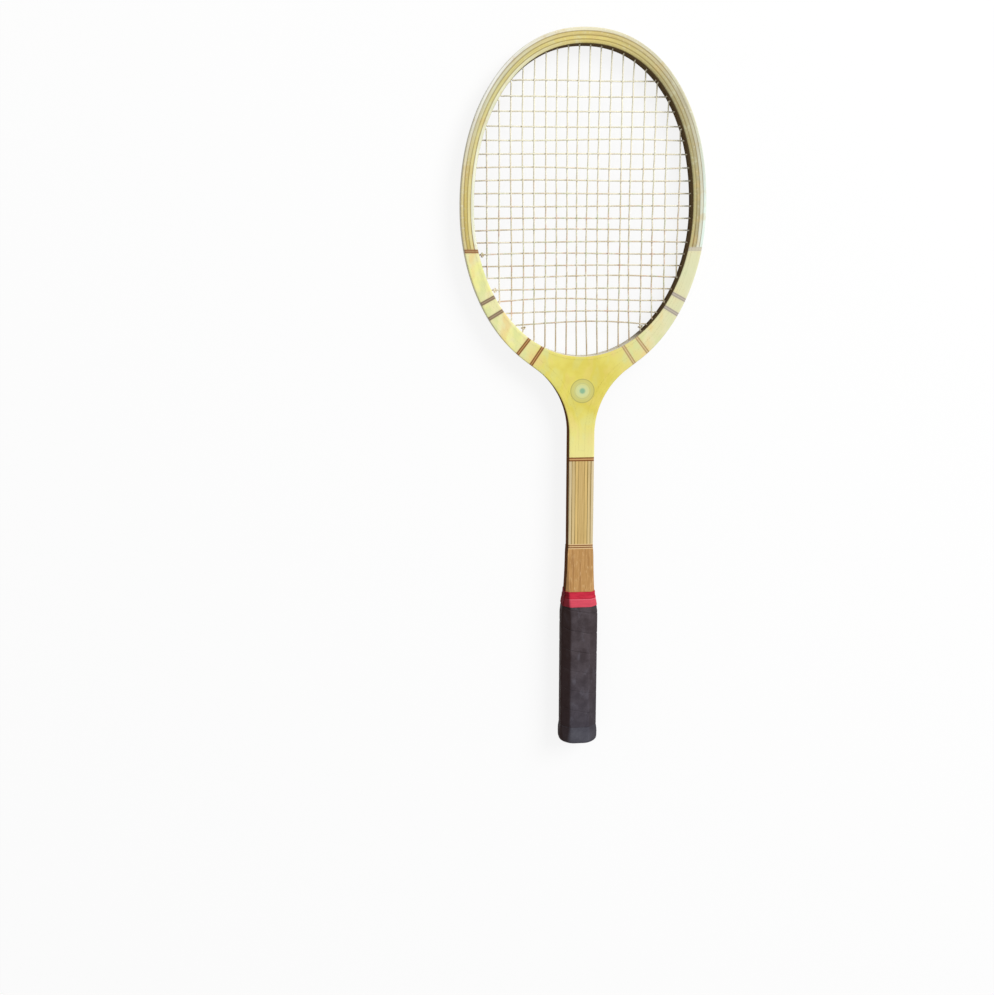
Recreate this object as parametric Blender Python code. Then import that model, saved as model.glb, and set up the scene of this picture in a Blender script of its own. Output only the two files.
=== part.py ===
"""Wooden tennis racket: laminated bow, throat wedge, built-up octagonal handle, wound grip, woven strings.

The racket lies flat. The origin is the middle of the butt's end face, +Y runs along the racket
to the tip, +X across it and +Z out of the front face. Everything is in metres.
"""
import math

import bmesh
import bpy
import numpy as np

MM = 0.001

# Head: the opening that the strings fill, measured from its widest line.
LENGTH = 685.8 * MM
OPENING_HALF_WIDTH = 102.2 * MM
OPENING_ABOVE = 146.0 * MM
OPENING_BELOW = 134.7 * MM
CROWN_POWER = 2.16
ARC_STATIONS = 8
LOWER_STATIONS = 13
UPPER_STATIONS = 15

# Laminations: one ring ply inside and three bow plies outside it, glued with a thin joint.
PLY = 2.85 * MM
GLUE_LINE = 0.3 * MM
BOW_PLIES = 3
CROWN_SWELL = 1.13
FRAME_DEPTH = 18.8 * MM
EDGE_ROUND = 1.1 * MM

# Throat: the bow runs wide of the ring ply, then straight, then turns into the shaft.
BOW_SPREAD = 10.5 * MM
THROAT_SLOPE = math.radians(37.0)
THROAT_RADIUS = 77.0 * MM
CORE_WIDTH = 5.6 * MM
HORN_TIP = 0.4 * MM
WEDGE_TAIL = 16.0 * MM

# Handle: four cheeks round the shaft, cut to an octagon.
CHEEK_TOP = 204.0 * MM
HANDLE_TOP = 136.0 * MM
CHEEK_FEATHER = 0.25 * MM
SIDE_CHEEK = 3.8 * MM
FACE_CHEEK = 3.9 * MM
BEVEL_ANGLE = math.radians(42.0)
CORNER_WOOD = 0.6 * MM

# Butt cap, pushed over the end of the handle.
CAP_LENGTH = 18.6 * MM
CAP_FLOOR = 3.2 * MM
CAP_FLARE = 1.1 * MM
CAP_ROUND = 4.2 * MM
FIT_GAP = 0.3 * MM

# Grip: one strip of leather wound upwards from the cap, thinned where the tape covers it.
LEATHER = 1.6 * MM
LEATHER_SKIVED = 0.8 * MM
GRIP_PITCH = 20.9 * MM
GRIP_SEAM = 0.5 * MM
GRIP_PHASE = -3.3 * MM
GRIP_TOP = 149.2 * MM
GRIP_SKIVE = 9.0 * MM
GRIP_END_WIDTH = 2.0 * MM
GRIP_ROWS = 4

# Collar: two turns of tape over the end of the grip.
TAPE = 0.5 * MM
TAPE_LAP = 4.1 * MM
TAPE_DOUBLE = 5.7 * MM
TAPE_SINGLE = 5.1 * MM
LAP_ROWS = 4

# Strings: mains along Y, crosses along X, each one unbroken length.
STRING_DIAMETER = 1.35 * MM
STRING_GAP = 0.3 * MM
STRING_SIDES = 4
MAINS = 18
MAIN_MARGIN = 12.5 * MM
MAIN_WIDENING = 0.0083 * MM
CROSSES = 20
CROSS_MARGIN_TOP = 31.0 * MM
CROSS_MARGIN_LOW = 29.5 * MM
CROSS_SKEW = 0.071 * MM
CROSS_WIDENING = 0.0051 * MM
WEDGE_MAINS = 10
STANDOFF = 1.3 * MM
HOLE = 2.1 * MM
ROW_OFFSET = 1.25 * MM
GROOVE_DEPTH = 1.8 * MM
GROOVE_SIDE = 0.4 * MM
LOOP_CORNER = 0.8 * MM
TAIL = 7.0 * MM
NEAR_RIM = 5.4 * MM

# Sizes that follow from the ones above.
HALF_DEPTH = FRAME_DEPTH / 2
RING_AND_GLUE = PLY + GLUE_LINE
BOW_WIDTH = BOW_PLIES * PLY + (BOW_PLIES - 1) * GLUE_LINE
HOOP_WIDTH = RING_AND_GLUE + BOW_WIDTH
HEAD_Y = LENGTH - OPENING_ABOVE - HOOP_WIDTH * CROWN_SWELL
BOW_HALF_WIDTH = OPENING_HALF_WIDTH + HOOP_WIDTH
BOW_ABOVE = OPENING_ABOVE + HOOP_WIDTH * CROWN_SWELL
BOW_BELOW = OPENING_BELOW + HOOP_WIDTH + BOW_SPREAD
SHAFT_HALF = CORE_WIDTH / 2 + BOW_PLIES * (PLY + GLUE_LINE)
WOOD_FOOT = CAP_FLOOR + FIT_GAP
STRING_RADIUS = STRING_DIAMETER / 2
WEAVE = (STRING_DIAMETER + STRING_GAP) / 2
GROOVE_HALF = ROW_OFFSET + STRING_RADIUS + GROOVE_SIDE
STRING_DEPTH = GROOVE_DEPTH - STRING_RADIUS - STRING_GAP
ACROSS = math.sin(BEVEL_ANGLE)
OUT = math.cos(BEVEL_ANGLE)
BEVEL_REACH = ACROSS * SHAFT_HALF + OUT * HALF_DEPTH + CORNER_WOOD


def clear_scene():
    """Remove every object, so that the script can be run again."""
    for item in list(bpy.data.objects):
        bpy.data.objects.remove(item, do_unlink=True)


def finish(name, colour, roughness, metallic=0.0):
    """A Principled material of one colour."""
    material = bpy.data.materials.new(name)
    material.use_nodes = True
    shader = material.node_tree.nodes["Principled BSDF"]
    shader.inputs["Base Color"].default_value = (*colour, 1.0)
    shader.inputs["Roughness"].default_value = roughness
    shader.inputs["Metallic"].default_value = metallic
    return material


def add_object(name, points, faces, origin, material=None):
    """An object whose mesh is given in the racket's frame and whose origin is put at a chosen point."""
    place = np.array(origin, float)
    mesh = bpy.data.meshes.new(name)
    mesh.from_pydata([tuple(p) for p in np.asarray(points, float) - place], [], faces)
    work = bmesh.new()
    work.from_mesh(mesh)
    bmesh.ops.recalc_face_normals(work, faces=work.faces)
    work.to_mesh(mesh)
    work.free()
    mesh.shade_smooth()
    mesh.set_sharp_from_angle(angle=math.radians(30))
    piece = bpy.data.objects.new(name, mesh)
    piece.location = place
    bpy.context.scene.collection.objects.link(piece)
    if material:
        mesh.materials.append(material)
    return piece


def cut(piece, cutter):
    """Take a cutter out of a piece, and keep the cutter as a guide."""
    modifier = piece.modifiers.new("cut_" + cutter.name, "BOOLEAN")
    modifier.operation = "DIFFERENCE"
    modifier.solver = "EXACT"
    modifier.object = cutter
    cutter.hide_render = True
    cutter.display_type = "WIRE"


def loft(name, sections, origin, material=None, closed=False):
    """A solid through like sections, each a loop of 3-D points; a closed loft joins its last to its first."""
    rows = np.array(sections, float)
    count, size = rows.shape[:2]
    faces = []
    for k in range(count if closed else count - 1):
        after = (k + 1) % count
        for j in range(size):
            beside = (j + 1) % size
            faces.append((k * size + j, k * size + beside, after * size + beside, after * size + j))
    if not closed:
        faces.append(tuple(range(size)))
        faces.append(tuple((count - 1) * size + j for j in range(size)))
    return add_object(name, rows.reshape(-1, 3), faces, origin, material)


def sweep_lines(lines):
    """Sections for a loft from plan lines: each line is an array of (x, y) with its own height z."""
    return [[(line[k][0], line[k][1], z) for line, z in lines] for k in range(len(lines[0][0]))]


def oval(half_width, above, below, angles):
    """Points of the head's oval by direction: an ellipse below the widest line, a fuller one above it."""
    across = np.cos(angles)
    along = np.sin(angles)
    height = np.where(along >= 0, above, below)
    power = np.where(along >= 0, CROWN_POWER, 2.0)
    radius = ((np.abs(across) / half_width) ** power + (np.abs(along) / height) ** power) ** (-1 / power)
    return np.column_stack([radius * across, HEAD_Y + radius * along])


def ring_sizes(outward):
    """Half width, reach above and reach below of the oval that lies outward of the opening's edge."""
    return OPENING_HALF_WIDTH + outward, OPENING_ABOVE + outward * CROWN_SWELL, OPENING_BELOW + outward


def ring_line(outward, angles):
    """The plan line that lies outward of the opening's edge."""
    return oval(*ring_sizes(outward), angles)


def touch_point(inward):
    """Where the throat's straight run touches the lower ellipse, measured from the head's widest line."""
    half_width = BOW_HALF_WIDTH - inward
    below = BOW_BELOW - inward
    turn = math.atan2(below, half_width * math.tan(THROAT_SLOPE))
    return np.array([half_width * math.cos(turn), -below * math.sin(turn)])


def head_angles(inward):
    """Directions of the head's stations on the right half, from the touching point up to the tip."""
    x, y = touch_point(inward)
    low = np.linspace(math.atan2(y, x), 0, LOWER_STATIONS)
    return np.concatenate([low, np.linspace(0, math.pi / 2, UPPER_STATIONS)[1:]])


def ring_angles():
    """Directions of the ring's stations all round, the same as the bow's where the two lie together."""
    head = head_angles(BOW_WIDTH)
    low = np.linspace(-math.pi / 2, head[0], 8)[:-1]
    right = np.concatenate([low, head])
    left = math.pi - right[1:-1][::-1]
    return np.concatenate([right, left])


def bow_line(inward, foot=WOOD_FOOT):
    """The plan line that lies inward of the bow's outer face, from the right foot round to the left foot.

    Half of it is a straight shaft, an arc that turns it outwards, a straight run at the throat's slope,
    an ellipse that this run touches, and the fuller crown.
    """
    x, y = touch_point(inward)
    slope = math.tan(THROAT_SLOPE)
    shaft = SHAFT_HALF - inward
    radius = THROAT_RADIUS + inward
    centre_x = shaft + radius
    centre_y = HEAD_Y + y + slope * (centre_x - x) - radius * math.hypot(1, slope)
    sweep = np.linspace(math.pi, math.pi / 2 + THROAT_SLOPE, ARC_STATIONS)
    arc = np.column_stack([centre_x + radius * np.cos(sweep), centre_y + radius * np.sin(sweep)])
    sizes = BOW_HALF_WIDTH - inward, BOW_ABOVE - inward * CROWN_SWELL, BOW_BELOW - inward
    right = np.vstack([[shaft, foot], arc, oval(*sizes, head_angles(inward))])
    left = right[:-1][::-1] * [-1, 1]
    return np.vstack([right, left])


def arc_lengths(line):
    """Distance of each point of a plan line from its first point."""
    return np.concatenate([[0], np.cumsum(np.linalg.norm(np.diff(line, axis=0), axis=1))])


def point_along(line, distance):
    """The point at a distance along a plan line."""
    lengths = arc_lengths(line)
    return np.array([np.interp(distance, lengths, line[:, 0]), np.interp(distance, lengths, line[:, 1])])


def stretch_of(line, start, end):
    """The part of a plan line between two distances along it."""
    lengths = arc_lengths(line)
    inside = (lengths > start) & (lengths < end)
    return np.vstack([point_along(line, start), line[inside], point_along(line, end)])


def distance_where_met(line, point, direction):
    """Distance along a plan line at which a ray from a point first meets it."""
    first = line[:-1]
    step = np.diff(line, axis=0)
    gap = first - point
    cross = step[:, 0] * direction[1] - step[:, 1] * direction[0]
    cross = np.where(np.abs(cross) < 1e-12, 1e-12, cross)
    share = (gap[:, 1] * direction[0] - gap[:, 0] * direction[1]) / cross
    reach = (gap[:, 1] * step[:, 0] - gap[:, 0] * step[:, 1]) / cross
    found = (share >= 0) & (share <= 1) & (reach > 0)
    nearest = np.flatnonzero(found)[np.argmin(reach[found])]
    return arc_lengths(line)[nearest] + share[nearest] * np.linalg.norm(step[nearest])


def make_ring_ply(material):
    """The ply that lines the opening all round, its inner edges rounded."""
    angles = ring_angles()
    edge = ring_line(0, angles)
    shoulder = ring_line(EDGE_ROUND, angles)
    back = ring_line(PLY, angles)
    lines = [
        (edge, EDGE_ROUND - HALF_DEPTH), (shoulder, -HALF_DEPTH), (back, -HALF_DEPTH),
        (back, HALF_DEPTH), (shoulder, HALF_DEPTH), (edge, HALF_DEPTH - EDGE_ROUND),
    ]
    return loft("inner_ring_ply", sweep_lines(lines), (0, HEAD_Y, 0), material, closed=True)


def make_bow_ply(name, number, material):
    """A bow ply, counted from the outside: up one side of the handle, round the head and down the other."""
    inward = number * (PLY + GLUE_LINE)
    face = bow_line(inward)
    back = bow_line(inward + PLY)
    if number == 0:
        shoulder = bow_line(EDGE_ROUND)
        lines = [
            (face, EDGE_ROUND - HALF_DEPTH), (shoulder, -HALF_DEPTH), (back, -HALF_DEPTH),
            (back, HALF_DEPTH), (shoulder, HALF_DEPTH), (face, HALF_DEPTH - EDGE_ROUND),
        ]
    else:
        lines = [(face, -HALF_DEPTH), (back, -HALF_DEPTH), (back, HALF_DEPTH), (face, HALF_DEPTH)]
    return loft(name, sweep_lines(lines), (0, HEAD_Y, 0), material)


def wedge_foot():
    """Height at which the throat wedge ends and the shaft core begins."""
    return bow_line(BOW_WIDTH + GLUE_LINE)[1][1] - WEDGE_TAIL


def make_wedge(material):
    """The block between ring ply and bow, with a horn up each side and a tail down the shaft.

    The horns follow the stations of ring and bow, and end where they would get thinner than their tip.
    """
    angles = ring_angles()
    angles = angles[angles < 0]
    top = ring_line(RING_AND_GLUE, angles)
    bottom = bow_line(BOW_WIDTH + GLUE_LINE, wedge_foot())[1 + ARC_STATIONS:][:LOWER_STATIONS]
    thick = np.linalg.norm(bottom[:-1] - top[-(LOWER_STATIONS - 1):], axis=1)
    last = int(np.argmax(thick < HORN_TIP))
    sides = bow_line(BOW_WIDTH + GLUE_LINE, wedge_foot())[:1 + ARC_STATIONS + last]
    upper = top[1:len(angles) - (LOWER_STATIONS - 1) + last]
    right = np.vstack([sides, upper[::-1]])
    outline = np.vstack([right, top[:1], right[::-1] * [-1, 1]])
    return prism("throat_wedge", outline, (0, wedge_foot(), 0), material)


def prism(name, outline, origin, material):
    """A flat block with a plan outline, as deep as the frame."""
    count = len(outline)
    points = [(x, y, z) for z in (-HALF_DEPTH, HALF_DEPTH) for x, y in outline]
    faces = [tuple(range(count)), tuple(range(count, 2 * count))]
    for k in range(count):
        beside = (k + 1) % count
        faces.append((k, beside, count + beside, count + k))
    return add_object(name, points, faces, origin, material)


def make_core(material):
    """The strip between the two legs of the bow, from the wedge's tail to the end of the handle."""
    half = CORE_WIDTH / 2
    corners = [(-half, -HALF_DEPTH), (half, -HALF_DEPTH), (half, HALF_DEPTH), (-half, HALF_DEPTH)]
    sections = [[(x, y, z) for x, z in corners] for y in (WOOD_FOOT, wedge_foot() - GLUE_LINE)]
    return loft("shaft_core", sections, (0, WOOD_FOOT, 0), material)


def swell(y):
    """How far the handle has grown from the shaft to the full octagon, from 0 to 1."""
    return float(np.clip((CHEEK_TOP - y) / (CHEEK_TOP - HANDLE_TOP), 0, 1))


def handle_sizes(y, offset=0.0):
    """Half width, half depth and bevel reach of the handle's wood at a height, grown by an offset."""
    share = swell(y) ** 2
    side = SHAFT_HALF + GLUE_LINE + CHEEK_FEATHER + (SIDE_CHEEK - CHEEK_FEATHER) * share
    face = HALF_DEPTH + GLUE_LINE + CHEEK_FEATHER + (FACE_CHEEK - CHEEK_FEATHER) * share
    return side + offset, face + offset, BEVEL_REACH + offset


def octagon(y, offset=0.0):
    """The handle's eight corners at a height, from the front's right one round by the left."""
    side, face, reach = handle_sizes(y, offset)
    flat = min((reach - OUT * face) / ACROSS, side)
    edge = min((reach - ACROSS * side) / OUT, face)
    half = [(flat, face), (-flat, face), (-side, edge), (-side, -edge)]
    return np.array(half + [(-x, -z) for x, z in half])


def make_face_cheek(name, sign, material):
    """A cheek on the front or back of the shaft, feathered out at its top."""
    inner = HALF_DEPTH + GLUE_LINE
    sections = []
    for y in cheek_heights():
        side, face, reach = handle_sizes(y)
        flat = min((reach - OUT * face) / ACROSS, side)
        edge = max(min((reach - ACROSS * side) / OUT, face), inner + 0.4 * (face - inner))
        middle = min((reach - OUT * edge) / ACROSS, side)
        base = min((reach - OUT * inner) / ACROSS, side)
        half = [(base, inner), (middle, edge), (flat, face)]
        loop = half + [(-x, z) for x, z in reversed(half)]
        sections.append([(x, y, sign * z) for x, z in loop])
    return loft(name, sections, (0, WOOD_FOOT, 0), material)


def make_side_cheek(name, sign, material):
    """A cheek on one side of the shaft, its corners cut by the handle's bevels."""
    inner = SHAFT_HALF + GLUE_LINE
    sections = []
    for y in cheek_heights():
        side, face, reach = handle_sizes(y)
        edge = min((reach - ACROSS * side) / OUT, HALF_DEPTH - CHEEK_FEATHER)
        end = min((reach - OUT * HALF_DEPTH) / ACROSS, side)
        half = [(inner, HALF_DEPTH), (end, HALF_DEPTH), (side, edge)]
        loop = half + [(x, -z) for x, z in reversed(half)]
        sections.append([(sign * x, y, z) for x, z in loop])
    return loft(name, sections, (0, WOOD_FOOT, 0), material)


def cheek_heights():
    """Heights of the cheeks' sections, closer together where the handle swells."""
    return [WOOD_FOOT] + list(np.linspace(HANDLE_TOP, CHEEK_TOP, 8))


def make_butt_cap(material):
    """A flared cap with a rounded end, hollow to take the end of the handle."""
    cover = FIT_GAP + LEATHER
    rim = CAP_LENGTH
    outside = [
        (0.0, cover + CAP_FLARE - CAP_ROUND), (0.09 * CAP_ROUND, cover + CAP_FLARE - 0.6 * CAP_ROUND),
        (0.38 * CAP_ROUND, cover + CAP_FLARE - 0.2 * CAP_ROUND), (CAP_ROUND, cover + CAP_FLARE),
        (0.55 * rim, cover + CAP_FLARE), (0.8 * rim, cover + 0.55 * CAP_FLARE), (rim, cover),
    ]
    inside = [(rim, FIT_GAP), (CAP_FLOOR, FIT_GAP)]
    sections = [[(x, y, z) for x, z in octagon(0.0, offset)] for y, offset in outside + inside]
    return loft("butt_cap", sections, (0, 0, 0), material)


def grip_thickness(y):
    """Thickness of the leather at a height: full, then skived where the tape covers it."""
    share = np.clip((y - GRIP_TOP + GRIP_SKIVE) / GRIP_SKIVE, 0, 1)
    return LEATHER + (LEATHER_SKIVED - LEATHER) * share


def make_grip(material):
    """One strip of leather wound up the octagon, level at both ends.

    The strip has a station at every corner of the octagon. Its upper edge climbs one pitch a turn,
    its lower edge lies one seam above the turn before, and both stop at the level ends.
    """
    corners = octagon(0.0)
    sides = np.linalg.norm(np.roll(corners, -1, axis=0) - corners, axis=1)
    share = np.concatenate([[0], np.cumsum(sides)[:-1]]) / sides.sum()
    foot = CAP_LENGTH + FIT_GAP
    turns = int((GRIP_TOP - foot) / GRIP_PITCH) + 3
    sections = {}
    for station in range(8 * turns):
        climb = station // 8 + share[station % 8]
        upper = min(foot + GRIP_PHASE + GRIP_PITCH * climb, GRIP_TOP)
        lower = max(foot + GRIP_PHASE + GRIP_PITCH * (climb - 1) + GRIP_SEAM, foot)
        if upper - lower > GRIP_END_WIDTH:
            rows = np.linspace(lower, upper, GRIP_ROWS)
            inside = [(*octagon(y, FIT_GAP)[station % 8], y) for y in rows]
            outside = [(*octagon(y, FIT_GAP + grip_thickness(y))[station % 8], y) for y in rows[::-1]]
            sections[station] = np.array([(x, y, z) for x, z, y in inside + outside])
    gaps = []
    for station in sections:
        if station + 8 in sections:
            above = sections[station + 8]
            gaps.append(np.linalg.norm(above[0] - sections[station][GRIP_ROWS - 1]))
            gaps.append(np.linalg.norm(above[-1] - sections[station][GRIP_ROWS]))
    print("least gap between turns of the grip, mm:", round(min(gaps) / MM, 3))
    return loft("leather_grip", list(sections.values()), (0, foot, 0), material)


def make_collar(material):
    """Tape wound over the grip's thinned end and on over the bare wood, first double and then single."""
    foot = GRIP_TOP - TAPE_LAP
    lap = np.linspace(foot, GRIP_TOP, LAP_ROWS)
    over = [2 * FIT_GAP + grip_thickness(y) for y in lap]
    ledge = GRIP_TOP + FIT_GAP
    drop = ledge + LEATHER_SKIVED
    step = GRIP_TOP + TAPE_DOUBLE
    top = step + TAPE_SINGLE
    inner = [*zip(lap, over), (ledge, over[-1]), (drop, FIT_GAP), (top, FIT_GAP)]
    outer = [
        (top, FIT_GAP + TAPE), (step + TAPE, FIT_GAP + TAPE), (step, FIT_GAP + 2 * TAPE),
        (drop + TAPE, FIT_GAP + 2 * TAPE),
    ]
    raised = np.linspace(TAPE, 0, LAP_ROWS)
    outer += [(y + more, out + TAPE) for y, more, out in zip(lap[::-1], raised, over[::-1])]
    sections = [[(x, y, z) for x, z in octagon(y, offset)] for y, offset in inner + outer]
    return loft("collar_tape", sections, (0, foot, 0), material, closed=True)


def main_places():
    """Across positions of the mains, the outermost a margin in from the opening's edge."""
    last = (MAINS - 1) / 2
    pitch = (OPENING_HALF_WIDTH - MAIN_MARGIN - MAIN_WIDENING * last ** 3) / last
    steps = np.arange(MAINS) - last
    return pitch * steps + MAIN_WIDENING * steps ** 3


def cross_places():
    """Heights of the crosses from the tip down, the end ones a margin in from the opening's edge."""
    last = (CROSSES - 1) / 2
    top = OPENING_ABOVE - CROSS_MARGIN_TOP
    low = CROSS_MARGIN_LOW - OPENING_BELOW
    pitch = ((top - low) / 2 - CROSS_WIDENING * last ** 3) / last
    middle = HEAD_Y + (top + low) / 2 - CROSS_SKEW * last ** 2
    steps = last - np.arange(CROSSES)
    return middle + pitch * steps + CROSS_SKEW * steps ** 2 + CROSS_WIDENING * steps ** 3


def rim_crossing(fixed, axis, side):
    """Where a string meets the line just inside the rim, and the rim's outward direction there.

    The fixed coordinate is x for a main (axis 0) and y for a cross (axis 1). The side is +1 or -1.
    """
    half_width, above, below = ring_sizes(-STANDOFF)
    upper = side > 0 if axis == 0 else fixed > HEAD_Y
    height = above if upper else below
    power = CROWN_POWER if upper else 2.0
    if axis == 0:
        x = fixed
        v = side * height * (1 - (abs(x) / half_width) ** power) ** (1 / power)
    else:
        v = fixed - HEAD_Y
        x = side * half_width * (1 - (abs(v) / height) ** power) ** (1 / power)
    outward = np.array([
        math.copysign((abs(x) / half_width) ** (power - 1) / half_width, x),
        math.copysign((abs(v) / height) ** (power - 1) / height, v),
    ])
    return np.array([x, HEAD_Y + v]), outward / np.linalg.norm(outward)


def string_end(fixed, axis, side, line, past):
    """One end of a string: its last point in the bed, its hole, and its place in the groove.

    The drill goes past the string's line by the given amount.
    """
    point, outward = rim_crossing(fixed, axis, side)
    place = distance_where_met(line, point, outward)
    drill = np.linalg.norm(point_along(line, place) - point) + past
    return {"point": point, "outward": outward, "line": line, "place": place, "drill": drill}


def channel_angles():
    """Directions of the wedge's channel, from half way to the next main on one side to the other."""
    places = main_places()
    first = (MAINS - WEDGE_MAINS) // 2
    corners = [rim_crossing(places[k], 0, -1)[0] for k in (first - 1, first)]
    low = np.mean([math.atan2(y - HEAD_Y, x) for x, y in corners])
    return np.linspace(low, -math.pi - low, 17)


def channel_line():
    """The line that string centres follow in the channel of the wedge, under the ring ply."""
    return ring_line(RING_AND_GLUE + STRING_DEPTH, channel_angles())


def main_ends():
    """Top and bottom end of every main; the middle ones turn in the wedge's channel at the bottom."""
    groove = bow_line(STRING_DEPTH)
    channel = channel_line()
    ends = []
    for k, x in enumerate(main_places()):
        top = string_end(x, 0, 1, groove, STRING_DEPTH + HOLE)
        if abs(k - (MAINS - 1) / 2) < WEDGE_MAINS / 2:
            ends.append((top, string_end(x, 0, -1, channel, 0)))
        else:
            ends.append((top, string_end(x, 0, -1, groove, STRING_DEPTH + HOLE)))
    return ends


def cross_ends():
    """Left and right end of every cross."""
    groove = bow_line(STRING_DEPTH)
    return [[string_end(y, 1, side, groove, STRING_DEPTH + HOLE) for side in (-1, 1)] for y in cross_places()]


def loop_points(first, second, height):
    """Out through one hole, along the groove and in through the next."""
    line = first["line"]
    start = first["place"]
    end = second["place"]
    low = min(start, end) + LOOP_CORNER
    high = max(start, end) - LOOP_CORNER
    along = stretch_of(line, low, high)
    if end < start:
        along = along[::-1]
    points = [point_along(line, start) - first["outward"] * LOOP_CORNER, *along]
    points.append(point_along(line, end) - second["outward"] * LOOP_CORNER)
    return [(x, y, height) for x, y in points]


def tail_points(end, way, height):
    """Out through the last hole and a short way along the groove."""
    line = end["line"]
    points = [point_along(line, end["place"]) - end["outward"] * LOOP_CORNER]
    points += [point_along(line, end["place"] + way * length) for length in (LOOP_CORNER, TAIL)]
    return [(x, y, height) for x, y in points]


def bed_points(fixed, axis, ends, others, number, sign):
    """A string's points in the bed, from its first end to its second, over and under in turn.

    Close to the rim the rows of holes decide which string lies on top.
    """
    first = ends[0]["point"]
    second = ends[1]["point"]
    free = 1 - axis
    points = [(*first, sign * ROW_OFFSET)]
    low = min(first[free], second[free]) + STRING_DIAMETER
    high = max(first[free], second[free]) - STRING_DIAMETER
    inside = [(k, value) for k, value in enumerate(others) if low < value < high]
    inside.sort(key=lambda pair: pair[1], reverse=bool(first[free] > second[free]))
    for k, value in inside:
        plan = (fixed, value) if axis == 0 else (value, fixed)
        on_top = 1 if (number + k) % 2 == 0 else -1
        if rim_distance(plan) < NEAR_RIM:
            on_top = 1
        points.append((*plan, sign * on_top * WEAVE))
    points.append((*second, sign * ROW_OFFSET))
    return points


def rim_distance(plan):
    """Rough distance from a point in the bed out to the ring ply, along its direction from the middle."""
    angle = math.atan2(plan[1] - HEAD_Y, plan[0])
    edge = ring_line(0, np.array([angle]))[0]
    return np.linalg.norm(edge - [0, HEAD_Y]) - np.linalg.norm(np.array(plan) - [0, HEAD_Y])


def serpentine(places, axis, ends, others, sign):
    """The whole path of one length of string: along, loop, back, loop, and a tail at each end."""
    height = sign * ROW_OFFSET
    path = []
    for k, fixed in enumerate(places):
        pair = ends[k] if k % 2 == 0 else ends[k][::-1]
        if k == 0:
            after = ends[1][0]["place"]
            path += tail_points(pair[0], math.copysign(1, pair[0]["place"] - after), height)[::-1]
        path += bed_points(fixed, axis, pair, others, k, sign)
        if k + 1 < len(places):
            path += loop_points(pair[1], ends[k + 1][1] if k % 2 == 0 else ends[k + 1][0], height)
        else:
            side = 1 if k % 2 == 0 else 0
            before = ends[k - 1][side]["place"]
            path += tail_points(pair[1], math.copysign(1, pair[1]["place"] - before), height)
    return np.array(path)


def tube(name, path, material):
    """A closed tube along a path, with its rings mitred at the bends."""
    steps = np.diff(path, axis=0)
    steps /= np.linalg.norm(steps, axis=1)[:, None]
    into = np.vstack([steps[:1], steps])
    out = np.vstack([steps, steps[-1:]])
    along = into + out
    along /= np.linalg.norm(along, axis=1)[:, None]
    across = np.cross(along, [0, 0, 1])
    across /= np.linalg.norm(across, axis=1)[:, None]
    up = np.cross(across, along)
    bend = out - into
    size = np.linalg.norm(bend, axis=1)
    bend /= np.where(size > 1e-9, size, 1)[:, None]
    stretch = 1 / np.sqrt(1 - (size / 2) ** 2) - 1
    sections = []
    for k, centre in enumerate(path):
        ring = []
        for j in range(STRING_SIDES):
            angle = 2 * math.pi * j / STRING_SIDES
            offset = STRING_RADIUS * (math.cos(angle) * across[k] + math.sin(angle) * up[k])
            offset = offset + stretch[k] * np.dot(offset, bend[k]) * bend[k]
            ring.append(tuple(centre + offset))
        sections.append(ring)
    return loft(name, sections, (0, HEAD_Y, 0), material)


def box_faces(first):
    """Faces of a box whose eight corners start at an index, the first four round one end."""
    ring = [(first + k, first + (k + 1) % 4, first + 4 + (k + 1) % 4, first + 4 + k) for k in range(4)]
    return ring + [tuple(first + k for k in range(4)), tuple(first + 4 + k for k in range(4))]


def make_hole_cutter(rows):
    """One square drill for each string end, from inside the opening outwards."""
    points = []
    faces = []
    half = HOLE / 2
    for height, ends in rows:
        for end in ends:
            beside = np.array([-end["outward"][1], end["outward"][0]])
            faces += box_faces(len(points))
            for distance in (-HOLE, end["drill"]):
                middle = end["point"] + end["outward"] * distance
                for u, w in ((-half, -half), (half, -half), (half, half), (-half, half)):
                    plan = middle + beside * u
                    points.append((plan[0], plan[1], height + w))
    return add_object("string_holes", points, faces, (0, HEAD_Y, 0))


def channel_cutter(name, floor, above):
    """A cutter as wide as both rows of strings, between a floor line and a line clear of the wood."""
    lines = [(floor, -GROOVE_HALF), (above, -GROOVE_HALF), (above, GROOVE_HALF), (floor, GROOVE_HALF)]
    return loft(name, sweep_lines(lines), (0, HEAD_Y, 0))


def groove_stretch(line):
    """The part of a bow line that carries the groove: from the middle of one straight run to the other."""
    first = 1 + ARC_STATIONS
    start = (line[first - 1] + line[first]) / 2
    return np.vstack([start, line[first:-first], start * [-1, 1]])


clear_scene()

white_ash = finish("white_ash", (0.72, 0.66, 0.44), 0.45)
gold_ash = finish("gold_ash", (0.62, 0.50, 0.22), 0.45)
pale_ash = finish("pale_ash", (0.60, 0.60, 0.48), 0.5)
throat_paint = finish("throat_paint", (0.78, 0.70, 0.20), 0.4)
core_wood = finish("core_wood", (0.45, 0.26, 0.11), 0.5)
veneer = finish("veneer", (0.48, 0.29, 0.12), 0.5)
leather = finish("leather", (0.075, 0.052, 0.056), 0.65)
red_tape = finish("red_tape", (0.55, 0.035, 0.075), 0.4)
cap_leather = finish("cap_leather", (0.06, 0.042, 0.045), 0.6)
gut = finish("gut", (0.62, 0.52, 0.34), 0.35)

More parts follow.
